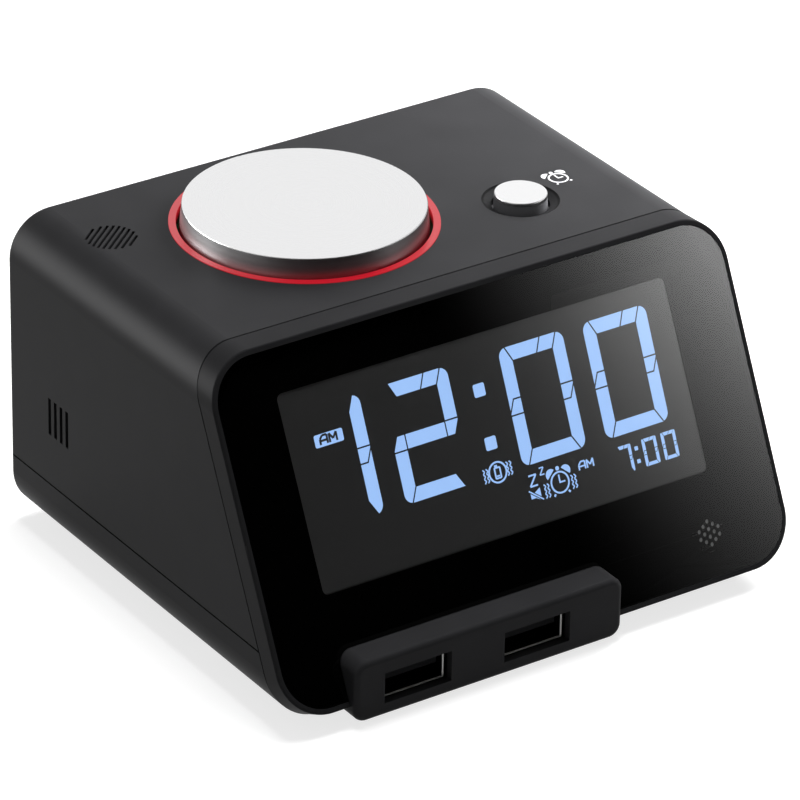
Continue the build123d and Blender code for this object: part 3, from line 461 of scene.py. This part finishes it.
def lit_figure(name, base):
    """Lit figures of the display, under the same skin as its glass."""
    made = new_material(name)
    tree = made.node_tree
    cloud = noise(tree, 3 * MM)
    tone = tones(tree, cloud, shade(base, 0.97), base)
    principled = add(tree, "ShaderNodeBsdfPrincipled", {
        "Base Color": (0, 0, 0, 1),
        "Roughness": 0.28,
        "Specular IOR Level": GLASS_SHEEN,
        "Emission Color": tone,
        "Emission Strength": 1.0,
    })
    return finish_with(made, principled)


def dress(names, material):
    """Gives a material to every slot of the named pieces."""
    for name in names:
        piece = NODES[name]
        if not piece.material_slots:
            piece.data.materials.append(material)
        for slot in piece.material_slots:
            slot.material = material


# Modelling

def choose(*pieces):
    """Selects pieces alone and makes the first one active."""
    bpy.ops.object.select_all(action="DESELECT")
    for piece in pieces:
        piece.select_set(True)
    bpy.context.view_layer.objects.active = pieces[0]


def settle(piece):
    """Puts the object's place, turn and size into its mesh."""
    choose(piece)
    bpy.ops.object.transform_apply(location=True, rotation=True, scale=True)
    return piece


def plate(width, height, x, y, turn=0.0):
    """A flat rectangle with its middle at a place."""
    bpy.ops.object.select_all(action="DESELECT")
    bpy.ops.mesh.primitive_plane_add(size=1, location=(x, y, 0), rotation=(0, 0, turn))
    piece = bpy.context.object
    piece.scale = (width, height, 1)
    return settle(piece)


def disc(radius, x, y):
    """A flat disc with its middle at a place."""
    bpy.ops.object.select_all(action="DESELECT")
    bpy.ops.mesh.primitive_circle_add(vertices=40, radius=radius, fill_type="NGON", location=(x, y, 0))
    return settle(bpy.context.object)


def edit_all(piece):
    """Opens a piece in edit mode with all of it selected."""
    choose(piece)
    bpy.ops.object.mode_set(mode="EDIT")
    bpy.ops.mesh.select_mode(type="FACE")
    bpy.ops.mesh.select_all(action="SELECT")


def leave_edit():
    """Goes back to object mode."""
    bpy.ops.object.mode_set(mode="OBJECT")


def pick_faces(piece, test):
    """Opens a piece in edit mode with only the faces selected that pass a test."""
    edit_all(piece)
    bpy.ops.mesh.select_all(action="DESELECT")
    leave_edit()
    for face in piece.data.polygons:
        face.select = test(face)
    bpy.ops.object.mode_set(mode="EDIT")


def hollow(piece, stroke):
    """Leaves only a border of a flat piece."""
    edit_all(piece)
    bpy.ops.mesh.inset(thickness=stroke)
    bpy.ops.mesh.delete(type="FACE")
    leave_edit()
    return piece


def rounded(piece, radius):
    """Rounds the corners of a flat piece."""
    edit_all(piece)
    bpy.ops.mesh.bevel(offset=radius, segments=6, affect="VERTICES")
    leave_edit()
    return piece


def cut(piece, point, normal, clear=False):
    """Cuts a flat piece along a line, and can take away what lies ahead of it."""
    edit_all(piece)
    square = Vector((*normal, 0)).normalized()
    bpy.ops.mesh.bisect(plane_co=(*point, 0), plane_no=square, clear_outer=clear, threshold=0.001 * MM)
    leave_edit()
    return piece


def bar(start, end, width):
    """A straight line between two points."""
    run = Vector(end) - Vector(start)
    middle = (Vector(start) + Vector(end)) / 2
    return plate(run.length, width, middle.x, middle.y, math.atan2(run.y, run.x))


def joined(parts):
    """Joins flat pieces to one."""
    choose(*parts)
    bpy.ops.object.join()
    return bpy.context.object


def thicken(piece, thickness):
    """Raises a flat piece to a thin solid."""
    edit_all(piece)
    bpy.ops.mesh.extrude_region_move(TRANSFORM_OT_translate={"value": (0, 0, thickness)})
    bpy.ops.mesh.select_all(action="SELECT")
    bpy.ops.mesh.normals_make_consistent(inside=False)
    leave_edit()
    return piece


def put(piece, name, matrix, material, body):
    """Places a finished piece, names it and makes it move with its body."""
    piece.name = name
    piece.data.name = name
    piece.data.transform(matrix)
    piece.data.materials.clear()
    piece.data.materials.append(material)
    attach(piece, body)
    return piece


# Figures of the display

def side_of(line, point):
    """Positive on the right of a line given by its lower and upper point."""
    (x0, y0), (x1, y1) = line
    return (point.x - x0) * (y1 - y0) - (point.y - y0) * (x1 - x0)


class Figure:
    """Layout of one seven-stroke figure with its lower left corner at the origin."""

    # Places of the slanting cuts, as shares of a stroke
    TOP_END = 0.53
    BOTTOM_LEFT_END = 0.52
    BOTTOM_RIGHT_END = 0.45
    SPLIT_LOW, SPLIT_HIGH = 2.2, 1.75
    NOTCH_DEPTH, NOTCH_DROP = 0.42, 0.12

    def __init__(self, width, height, stroke):
        self.width, self.height, self.stroke = width, height, stroke
        w, h, s = width, height, stroke
        middle, half = h / 2, s / 2
        self.high, self.low = middle + half, middle - half
        self.top_left = ((s, h - s), (self.TOP_END * s, h))
        self.top_right = ((w - s, h - s), (w - self.TOP_END * s, h))
        self.top_split = ((w - self.SPLIT_LOW * s, h - s), (w - self.SPLIT_HIGH * s, h))
        self.bottom_left = ((self.BOTTOM_LEFT_END * s, 0), (s, s))
        self.bottom_right = ((w - self.BOTTOM_RIGHT_END * s, 0), (w - s, s))
        notch, drop = self.NOTCH_DEPTH * s, self.NOTCH_DROP * s
        self.right_notch = ((w - notch, self.low), (w, self.high - drop))
        self.left_notch = ((0, self.low + drop), (notch, self.high))

    def lines(self):
        """Every line along which the plate is cut, as a point and a normal."""
        w, h, s = self.width, self.height, self.stroke
        upright = [((x, 0), (1, 0)) for x in (s, w - s)]
        level = [((0, y), (0, 1)) for y in (s, h - s, self.high, self.low)]
        slanting = []
        for start, end in (self.top_left, self.top_right, self.top_split, self.bottom_left,
                           self.bottom_right, self.right_notch, self.left_notch):
            slanting.append((start, (end[1] - start[1], start[0] - end[0])))
        return upright + level + slanting

    def stroke_at(self, point):
        """Name of the stroke that a point of the plate belongs to."""
        if point.y > self.height - self.stroke:
            return self.top_stroke(point)
        if point.y < self.stroke:
            return self.bottom_stroke(point)
        if point.x < self.stroke:
            return self.left_stroke(point)
        if point.x > self.width - self.stroke:
            return self.right_stroke(point)
        return "middle" if self.low < point.y < self.high else None

    def top_stroke(self, point):
        """Strokes in the top row."""
        if side_of(self.top_left, point) < 0:
            return "upper_left"
        if side_of(self.top_right, point) > 0:
            return "upper_right"
        return "top_right" if side_of(self.top_split, point) > 0 else "top_left"

    def bottom_stroke(self, point):
        """Strokes in the bottom row."""
        if side_of(self.bottom_left, point) < 0:
            return "lower_left"
        return "lower_right" if side_of(self.bottom_right, point) > 0 else "bottom"

    def left_stroke(self, point):
        """Strokes on the left, where the upper one reaches down past the joint."""
        if point.y > self.high:
            return "upper_left"
        if point.y < self.low:
            return "lower_left"
        return "upper_left" if side_of(self.left_notch, point) < 0 else "left_joint"

    def right_stroke(self, point):
        """Strokes on the right, where the lower one reaches up past the joint."""
        if point.y > self.high:
            return "upper_right"
        if point.y < self.low:
            return "lower_right"
        return "lower_right" if side_of(self.right_notch, point) > 0 else "right_joint"


def figure_plate(layout, gap, corner):
    """All strokes of a figure cut from one plate, each marked by its material index."""
    piece = plate(layout.width, layout.height, layout.width / 2, layout.height / 2)
    rounded(piece, corner)
    for point, normal in layout.lines():
        cut(piece, point, normal)
    for _ in STROKES:
        piece.data.materials.append(None)
    pick_faces(piece, lambda face: layout.stroke_at(face.center) is None)
    bpy.ops.mesh.delete(type="FACE")
    leave_edit()
    for face in piece.data.polygons:
        face.material_index = STROKES.index(layout.stroke_at(face.center))
    for i in range(len(STROKES)):
        pick_faces(piece, lambda face: face.material_index == i)
        bpy.ops.mesh.split()
        leave_edit()
    edit_all(piece)
    bpy.ops.mesh.inset(thickness=gap / 2, use_boundary=True)
    bpy.ops.mesh.select_all(action="INVERT")
    bpy.ops.mesh.delete(type="FACE")
    leave_edit()
    return piece


def figure_from(master, sign, x, y):
    """A copy of the full figure with the strokes of one sign, at a place."""
    choose(master)
    bpy.ops.object.duplicate()
    piece = bpy.context.object
    kept = {STROKES.index(name) for name in FIGURES[sign]}
    pick_faces(piece, lambda face: face.material_index not in kept)
    bpy.ops.mesh.delete(type="FACE")
    leave_edit()
    piece.location = (x, y, 0)
    return settle(piece)


def figure_row(layout, gap, corner, places):
    """Figures in a row, from pairs of a sign and the place of its lower left corner."""
    master = figure_plate(layout, gap, corner)
    row = [figure_from(master, sign, x, y) for sign, x, y in places]
    bpy.data.objects.remove(master)
    return row


def figures_with_colon(layout, gap, corner, base, figures, colon):
    """Figures in a row, and the two square dots of their colon."""
    parts = figure_row(layout, gap, corner, [(sign, start * MM, base) for sign, start in figures])
    for rise in colon["rises"]:
        dot = plate(colon["dot"], colon["dot"], colon["across"], base + rise)
        parts.append(rounded(dot, colon["round_by"]))
    return parts


def path(points, width):
    """A line of straight runs through points."""
    return [bar(points[i], points[i + 1], width) for i in range(len(points) - 1)]


def zigzag(x, y, width):
    """An upright wavy line of straight runs round a middle."""
    low = y - TREMBLE_HEIGHT / 2
    step = TREMBLE_HEIGHT / TREMBLE_RUNS
    points = [(x + TREMBLE_SWING * (i % 2 - 0.5), low + i * step) for i in range(TREMBLE_RUNS + 1)]
    return path(points, width)


def tremble(x, y, width):
    """Two wavy lines side by side."""
    return zigzag(x - TREMBLE_PITCH / 2, y, width) + zigzag(x + TREMBLE_PITCH / 2, y, width)


def letters_am(x, y, height, line):
    """The two letters of the morning mark, drawn with lines."""
    w = 0.92 * height
    gap = 0.3 * height
    a = [(x, y), (x, y + 0.62 * height), (x + 0.38 * w, y + height), (x + w, y + height), (x + w, y)]
    m = x + w + gap
    strokes = path(a, line) + path([(x, y + 0.42 * height), (x + w, y + 0.42 * height)], line)
    valley = (m + 0.5 * w, y + 0.35 * height)
    strokes += path([(m, y), (m, y + height), valley, (m + w, y + height), (m + w, y)], line)
    return strokes


def letter_z(x, y, width, height, line):
    """One letter of the doze mark."""
    return path([(x, y + height), (x + width, y + height), (x, y), (x + width, y)], line)


def alarm_clock(x, y, radius, line):
    """Pictogram of an alarm clock: ring, hands, two bells, a knob and two feet."""
    ring = hollow(disc(radius, x, y), line * 1.1)
    hands = [bar((x, y), (x, y + 0.68 * radius), line), bar((x - line / 2, y), (x + 0.55 * radius, y), line)]
    parts = [ring, *hands]
    bell_lean, foot_lean = math.radians(42), math.radians(38)
    for side in (-1, 1):
        out = Vector((side * math.sin(bell_lean), math.cos(bell_lean)))
        middle = Vector((x, y)) + out * radius * 1.17
        bell = disc(0.52 * radius, middle.x, middle.y)
        parts.append(cut(bell, middle, -out, clear=True))
        foot = Vector((side * math.sin(foot_lean), -math.cos(foot_lean)))
        near, far = Vector((x, y)) + foot * radius * 1.14, Vector((x, y)) + foot * radius * 1.38
        parts.append(bar(near, far, line * 1.3))
    parts.append(disc(0.19 * radius, x, y + 1.26 * radius))
    return parts


def phone(x, y, radius, line):
    """Pictogram of a hand-held telephone in a ring."""
    ring = hollow(disc(radius, x, y), line * 1.1)
    body = hollow(rounded(plate(0.72 * radius, 1.1 * radius, x, y - 0.06 * radius), 0.14 * radius), line)
    cap = plate(0.3 * radius, 0.2 * radius, x - 0.1 * radius, y + 0.58 * radius)
    key = bar((x - 0.16 * radius, y - 0.34 * radius), (x + 0.16 * radius, y - 0.34 * radius), line)
    return [ring, body, cap, key]


def speaker(x, y, size):
    """Side view of a loudspeaker: a box and its horn."""
    box = plate(0.42 * size, 0.46 * size, x - 0.3 * size, y)
    horn = plate(0.5 * size, size, x + 0.2 * size, y)
    for way in (-1, 1):
        cut(horn, (x - 0.08 * size, y + way * 0.22 * size), (-0.55, way), clear=True)
    return [box, horn]


def mute_speaker(x, y, size, line):
    """Pictogram of a loudspeaker with a stroke through it, clear of the stroke on both sides."""
    start = Vector((x - 0.62 * size, y + 0.46 * size))
    end = Vector((x + 0.62 * size, y - 0.5 * size))
    across = (end - start).orthogonal().normalized()
    parts = [bar(start, end, line * 0.8)]
    for way in (-1, 1):
        for part in speaker(x, y, size):
            parts.append(cut(part, start + across * way * line, -way * across, clear=True))
    return parts


# Places on the clock

def front_axes():
    """Up the slope and out of it, from the faces of the lens."""
    faces = [face for face in NODES["front_lens"].data.polygons if face.normal.y < -0.7]
    widest = max(faces, key=lambda face: face.area).normal
    out = Vector((0, widest.y, widest.z)).normalized()
    return Vector((0, out.z, -out.y)), out


def front_place(node, turn, lean):
    """Placement on a node's front face: x across, y up from the lower edge of the lens."""
    up, out = front_axes()
    low = min(point.co.dot(up) for point in NODES["front_lens"].data.vertices)
    depth = max(point.co.dot(out) for point in NODES[node].data.vertices)
    place = Matrix((Vector((1, 0, 0)), up, out)).transposed().to_4x4()
    place.translation = up * low + out * depth
    skew = Matrix.Identity(4)
    skew[0][1] = lean
    middle = Matrix.Translation((0, 41 * MM, 0))
    return place @ middle @ Matrix.Rotation(turn, 4, "Z") @ skew @ middle.inverted()


def put_on_glass(piece, name, material, settings):
    """Places a finished sign on the display glass."""
    place = front_place("lcd_panel", settings.turn, settings.lean)
    return put(piece, name, place, material, "case")


def centre_of(node):
    """Middle of a node's box."""
    low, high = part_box(node)
    return (low + high) / 2


class ClockOperator:
    """Shared settings of the clock's operators."""

    bl_options = {"REGISTER", "UNDO"}


class CLOCK_OT_case(ClockOperator, bpy.types.Operator):
    """Moulded plastic of the case, the shelf and the battery door, and a darker copy of it on the bezel as
    painted shade
    """

    bl_idname = "clock.case"
    bl_label = "Moulded case"

    def execute(self, context):
        settings = context.scene.clock_case
        # The recess round the small button gets painted shade
        shaded_recess = centre_of("alarm_button_disc"), settings.shaded_recess
        plastic = moulded("case_plastic", settings.plastic, settings.plastic_gloss, settings.grain,
                          settings.plastic_sheen, shaded_recess)
        dress(CASE_PIECES, plastic)
        # The bezel: the case plastic painted darker, with less sheen, as painted shade
        bezel = moulded("shaded_bezel_plastic", shade(settings.plastic, 0.8), settings.plastic_gloss,
                        settings.grain, settings.plastic_sheen * 0.6)
        dress(["front_bezel"], bezel)
        return {"FINISHED"}


class CLOCK_OT_front(ClockOperator, bpy.types.Operator):
    """Clear lens, black film, display glass and the light parts behind them"""

    bl_idname = "clock.front"
    bl_label = "Lens and display glass"

    def execute(self, context):
        settings = context.scene.clock_display
        dress(["front_lens"], clear_sheet("clear_lens", front_axes()[1]))
        dress(["lens_mask"], bonded_film("black_film", settings.film))
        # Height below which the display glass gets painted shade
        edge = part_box("lcd_panel")[0].z + 3.6 * MM
        dress(["lcd_panel"], display_glass("display_glass", settings.glass, edge))
        dress(["backlight_panel"], moulded("light_guide", LIGHT_GUIDE, 0.4, 0.3 * MM))
        dress(["sensor_pipe"], moulded("sensor_pipe", SENSOR_GREY, 0.45, 0.3 * MM))
        return {"FINISHED"}


class CLOCK_OT_dial(ClockOperator, bpy.types.Operator):
    """Turned aluminium of the dial and the small button, and the lit ring"""

    bl_idname = "clock.dial"
    bl_label = "Dial, ring and button"

    def execute(self, context):
        settings = context.scene.clock_case
        for name, polish in ALUMINIUM_PIECES.items():
            tone = shade(settings.aluminium, polish)
            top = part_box(name)[1].z
            dress([name], turned_metal("turned_" + name, tone, centre_of(name), top, 0.27))
        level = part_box("light_ring")[1].z
        dress(["alarm_button_body"], moulded("button_plastic", settings.button, 0.45, settings.grain, 0.2))
        red = glowing("red_light", settings.ring, settings.ring_light, 2 * MM, level)
        dress(["light_ring", "ring_leds"], red)
        return {"FINISHED"}


class CLOCK_OT_small_parts(ClockOperator, bpy.types.Operator):
    """Plastic and metal of buttons, sockets, screws and feet"""

    bl_idname = "clock.small_parts"
    bl_label = "Buttons, sockets and screws"

    def execute(self, context):
        settings = context.scene.clock_case
        dress(BLACK_PIECES, moulded("black_plastic", settings.black, 0.38, 0.3 * MM))
        dress(PALE_PIECES, moulded("grey_plastic", GREY_PLASTIC, 0.5, 0.3 * MM))
        dress(STEEL_PIECES, metal("plated_steel", PLATED_STEEL, 0.3))
        dress(["usb_shells"], socket_shell("socket_shell", SHELL_PLATING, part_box("usb_shells")[0].y))
        dress(["usb_tongues"], moulded("tongue_plastic", shade(settings.black, 0.5), 0.8, 0.3 * MM, 0.05))
        dress(["usb_contacts"], metal("gold", GOLD, 0.25))
        dress(RUBBER_PIECES, moulded("rubber", RUBBER, 0.75, 0.25 * MM))
        return {"FINISHED"}


class CLOCK_OT_inside(ClockOperator, bpy.types.Operator):
    """Boards, ribbons and cells inside the case"""

    bl_idname = "clock.inside"
    bl_label = "Boards and cells"

    def execute(self, context):
        dress(BOARD_PIECES, moulded("board", BOARD_GREEN, 0.35, 0.6 * MM))
        dress(RIBBON_PIECES, moulded("ribbon", RIBBON_TAN, 0.35, 0.5 * MM))
        dress(["battery_cells"], metal("cell_can", CELL_CAN, 0.32))
        return {"FINISHED"}


class CLOCK_OT_time(ClockOperator, bpy.types.Operator):
    """Large lit figures of the time with their colon"""

    bl_idname = "clock.time"
    bl_label = "Time figures"

    def execute(self, context):
        settings = context.scene.clock_display
        layout = Figure(settings.width, settings.height, settings.stroke)
        parts = figures_with_colon(layout, settings.gap, settings.corner, settings.base,
                                   TIME_FIGURES, TIME_COLON)
        piece = thicken(joined(parts), settings.thick)
        put_on_glass(piece, "time_figures", lit_figure("lit_figures", settings.lit), settings)
        return {"FINISHED"}


class CLOCK_OT_alarm_time(ClockOperator, bpy.types.Operator):
    """Small lit figures of the alarm time with their colon"""

    bl_idname = "clock.alarm_time"
    bl_label = "Alarm time figures"

    def execute(self, context):
        settings = context.scene.clock_display
        layout = Figure(settings.small_width, settings.small_height, settings.small_stroke)
        parts = figures_with_colon(layout, settings.small_gap, settings.small_corner, settings.small_base,
                                   ALARM_FIGURES, ALARM_COLON)
        piece = thicken(joined(parts), settings.thick)
        put_on_glass(piece, "alarm_figures", lit_figure("lit_alarm", settings.lit), settings)
        return {"FINISHED"}


class CLOCK_OT_marks(ClockOperator, bpy.types.Operator):
    """Small lit marks of the display: morning, telephone, doze, mute and alarm"""

    bl_idname = "clock.marks"
    bl_label = "Display marks"

    def execute(self, context):
        settings = context.scene.clock_display
        line = settings.line
        parts = phone(-1.62 * MM, 31.27 * MM, 2.05 * MM, line)
        for x, y in TREMBLES:
            parts += tremble(x, y, line * 0.8)
        parts += letter_z(4.55 * MM, 26.75 * MM, 1.65 * MM, 2.0 * MM, line * 1.1)
        parts += letter_z(7.1 * MM, 28.3 * MM, 0.95 * MM, 1.3 * MM, line * 0.8)
        parts += mute_speaker(5.4 * MM, 25.0 * MM, 2.3 * MM, line)
        parts += alarm_clock(11.0 * MM, 25.9 * MM, 2.1 * MM, line)
        parts += letters_am(15.7 * MM, 26.86 * MM, 1.5 * MM, line)
        piece = thicken(joined(parts), settings.thick)
        put_on_glass(piece, "display_marks", lit_figure("lit_marks", settings.lit), settings)
        return {"FINISHED"}


class CLOCK_OT_badge(ClockOperator, bpy.types.Operator):
    """Lit badge of the morning half of the day, with its letters left dark"""

    bl_idname = "clock.badge"
    bl_label = "Morning badge"

    def execute(self, context):
        settings = context.scene.clock_display
        badge = rounded(plate(6.1 * MM, 2.35 * MM, -34.7 * MM, 46.7 * MM), 0.35 * MM)
        thicken(badge, settings.thick * 0.5)
        put_on_glass(badge, "morning_badge", lit_figure("lit_badge", settings.lit), settings)
        letters = thicken(joined(letters_am(-36.6 * MM, 45.92 * MM, 1.65 * MM, 0.42 * MM)), settings.thick)
        dark = moulded("dark_letters", settings.glass, 0.5, 0.2 * MM)
        put_on_glass(letters, "badge_letters", dark, settings)
        return {"FINISHED"}


class CLOCK_OT_print(ClockOperator, bpy.types.Operator):
    """Pale alarm mark printed on the top beside the small button"""

    bl_idname = "clock.print"
    bl_label = "Printed alarm mark"

    def execute(self, context):
        settings = context.scene.clock_display
        piece = thicken(joined(alarm_clock(0, 0, 2.0 * MM, 0.3 * MM)), 0.03 * MM)
        place = Matrix.Translation((39.6 * MM, 7.25 * MM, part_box("upper_housing")[1].z))
        white = moulded("white_print", settings.mark, 0.5, 0.2 * MM)
        put(piece, "alarm_print", place, white, "case")
        return {"FINISHED"}


# Studio

def white_when_seen(tree):
    """One where a surface is seen straight on, in a mirror or through glass, otherwise zero."""
    seen = add(tree, "ShaderNodeLightPath").outputs
    straight = worked_out(tree, "MAXIMUM", seen["Is Camera Ray"], seen["Is Glossy Ray"])
    return worked_out(tree, "MAXIMUM", straight, seen["Is Transmission Ray"])


def floor_material(base):
    """Pale floor that keeps soft shadows and looks white around them."""
    made = new_material("studio_floor")
    tree = made.node_tree
    cloud = noise(tree, 0.3)
    paint = add(tree, "ShaderNodeBsdfDiffuse", {"Color": tones(tree, cloud, shade(base, 0.99), base)})
    strength = between(tree, white_when_seen(tree), 0.0, 0.75)
    glow = add(tree, "ShaderNodeEmission", {"Color": WHITE, "Strength": strength})
    return finish_with(made, add(tree, "ShaderNodeAddShader", {0: paint.outputs[0], 1: glow.outputs[0]}))


def weighed(tree, first, second, weight):
    """A value to which a share of a second value is added."""
    return worked_out(tree, "MULTIPLY_ADD", second, weight, first)


def card_material(strength):
    """Low card in front of the clock: black, with a soft light at its right and upper part."""
    made = new_material("studio_card")
    tree = made.node_tree
    x, z = along(tree, "X"), along(tree, "Z")
    across = eased(tree, weighed(tree, x, z, 0.0675), 62.1 * MM, 133.8 * MM, 2.65)
    rise = eased(tree, weighed(tree, z, x, -0.134), -34 * MM, 78.2 * MM, 1.05)
    light = times(tree, times(tree, across, rise), strength)
    return finish_with(made, add(tree, "ShaderNodeEmission", {"Strength": light}))


def plain_card(name, strength):
    """A card of one brightness."""
    made = new_material(name)
    return finish_with(made, add(made.node_tree, "ShaderNodeEmission", {"Strength": strength}))


def studio_floor(settings):
    """A wide plain floor under the clock."""
    bpy.ops.object.select_all(action="DESELECT")
    bpy.ops.mesh.primitive_circle_add(vertices=96, radius=FLOOR_RADIUS, fill_type="NGON", location=(0, 0, 0))
    floor = bpy.context.object
    floor.name = "studio_floor"
    floor.data.materials.append(floor_material(settings.floor))


def show_in_mirrors_only(card):
    """Hides a card from everything but mirrored rays."""
    for kind in ("camera", "diffuse", "transmission", "shadow", "volume_scatter"):
        setattr(card, "visible_" + kind, False)


def mirror_card(material, width, height, place, target):
    """A card that only mirrors show, turned to a point."""
    bpy.ops.object.select_all(action="DESELECT")
    bpy.ops.mesh.primitive_plane_add(size=1, location=place)
    card = bpy.context.object
    card.name = material.name
    card.scale = (width, height, 1)
    card.rotation_mode = "QUATERNION"
    card.rotation_quaternion = (Vector(target) - Vector(place)).to_track_quat("Z", "Y")
    settle(card)
    card.data.materials.append(material)
    show_in_mirrors_only(card)


def studio_cards(settings):
    """A low card and a black high one before the lens, and a bright one behind the left shoulder."""
    mirror_card(card_material(settings.card_light), **LOW_CARD)
    mirror_card(plain_card("high_card", 0.0), **HIGH_CARD)
    edge = Vector((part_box("upper_housing")[0].x, 0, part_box("upper_housing")[1].z))
    bright = plain_card("edge_card", settings.edge_light)
    mirror_card(bright, EDGE_CARD_SIZE, EDGE_CARD_SIZE, edge + EDGE_CARD_REACH, edge)


def studio_lamp(name, place, target, size, power):
    """A large soft lamp that looks at a point."""
    lamp = bpy.data.lights.new(name, "AREA")
    lamp.shape = "DISK"
    lamp.size = size
    lamp.energy = power
    holder = bpy.data.objects.new(name, lamp)
    holder.location = place
    holder.rotation_mode = "QUATERNION"
    holder.rotation_quaternion = (Vector(place) - Vector(target)).to_track_quat("Z", "Y")
    holder.visible_camera = False
    holder.visible_glossy = False
    bpy.context.scene.collection.objects.link(holder)


def studio_sky(settings):
    """Even light from all sides, white where it is seen."""
    world = bpy.data.worlds.new("studio")
    world.use_nodes = True
    tree = world.node_tree
    strength = between(tree, white_when_seen(tree), settings.sky_light, 1.0)
    tree.nodes["Background"].inputs["Color"].default_value = WHITE
    tree.links.new(strength, tree.nodes["Background"].inputs["Strength"])
    bpy.context.scene.world = world


def camera_axes(settings):
    """Right, up and back of the camera."""
    turn, rise = -settings.azimuth, settings.elevation
    back = Vector((math.sin(turn) * math.cos(rise), -math.cos(turn) * math.cos(rise), math.sin(rise)))
    right = Vector((math.cos(turn), math.sin(turn), 0))
    up = back.cross(right)
    roll = settings.roll
    level = right * math.cos(roll) + up * math.sin(roll)
    return level, up * math.cos(roll) - right * math.sin(roll), back


def studio_camera(settings):
    """The camera of the photograph."""
    right, up, back = camera_axes(settings)
    lens = bpy.data.cameras.new("camera")
    lens.sensor_width = 36.0
    lens.lens = settings.focal
    lens.clip_end = 10.0
    holder = bpy.data.objects.new("camera", lens)
    place = Matrix((right, up, back)).transposed().to_4x4()
    target = Vector((settings.aim_side, settings.aim_back, settings.aim))
    place.translation = target + back * settings.distance
    holder.matrix_world = place
    bpy.context.scene.collection.objects.link(holder)
    bpy.context.scene.camera = holder


class CLOCK_OT_stage(ClockOperator, bpy.types.Operator):
    """Floor, cards, lamps, sky and camera"""

    bl_idname = "clock.stage"
    bl_label = "Studio"

    def execute(self, context):
        settings = context.scene.clock_stage
        studio_floor(settings)
        studio_cards(settings)
        studio_lamp("key_lamp", power=settings.key_light, **KEY_LAMP)
        studio_lamp("top_lamp", power=settings.top_light, **TOP_LAMP)
        studio_sky(settings)
        studio_camera(settings)
        context.scene.view_settings.view_transform = "Standard"
        return {"FINISHED"}


class CLOCK_PT_panel(bpy.types.Panel):
    """Panel that lists the steps and their settings"""

    bl_idname = "CLOCK_PT_panel"
    bl_label = "Alarm clock"
    bl_space_type = "VIEW_3D"
    bl_region_type = "UI"
    bl_category = "Clock"

    def draw(self, context):
        layout = self.layout
        for step in STEPS:
            layout.operator(step.bl_idname)
        for name in GROUPS:
            group = getattr(context.scene, name)
            for key in group.__annotations__:
                layout.prop(group, key)


STEPS = (
    CLOCK_OT_case, CLOCK_OT_front, CLOCK_OT_dial, CLOCK_OT_small_parts, CLOCK_OT_inside, CLOCK_OT_time,
    CLOCK_OT_alarm_time, CLOCK_OT_marks, CLOCK_OT_badge, CLOCK_OT_print, CLOCK_OT_stage,
)
GROUPS = {"clock_case": CaseSettings, "clock_display": DisplaySettings, "clock_stage": StageSettings}


def register():
    """Adds the classes and their settings."""
    for name, group in GROUPS.items():
        bpy.utils.register_class(group)
        setattr(bpy.types.Scene, name, PointerProperty(type=group))
    for kind in (*STEPS, CLOCK_PT_panel):
        bpy.utils.register_class(kind)


def unregister():
    """Takes them away again."""
    for kind in (CLOCK_PT_panel, *reversed(STEPS)):
        bpy.utils.unregister_class(kind)
    for name, group in GROUPS.items():
        delattr(bpy.types.Scene, name)
        bpy.utils.unregister_class(group)


def main():
    """Runs every step."""
    register()
    for step in STEPS:
        family, action = step.bl_idname.split(".")
        getattr(getattr(bpy.ops, family), action)()


if __name__ == "__main__":
    main()
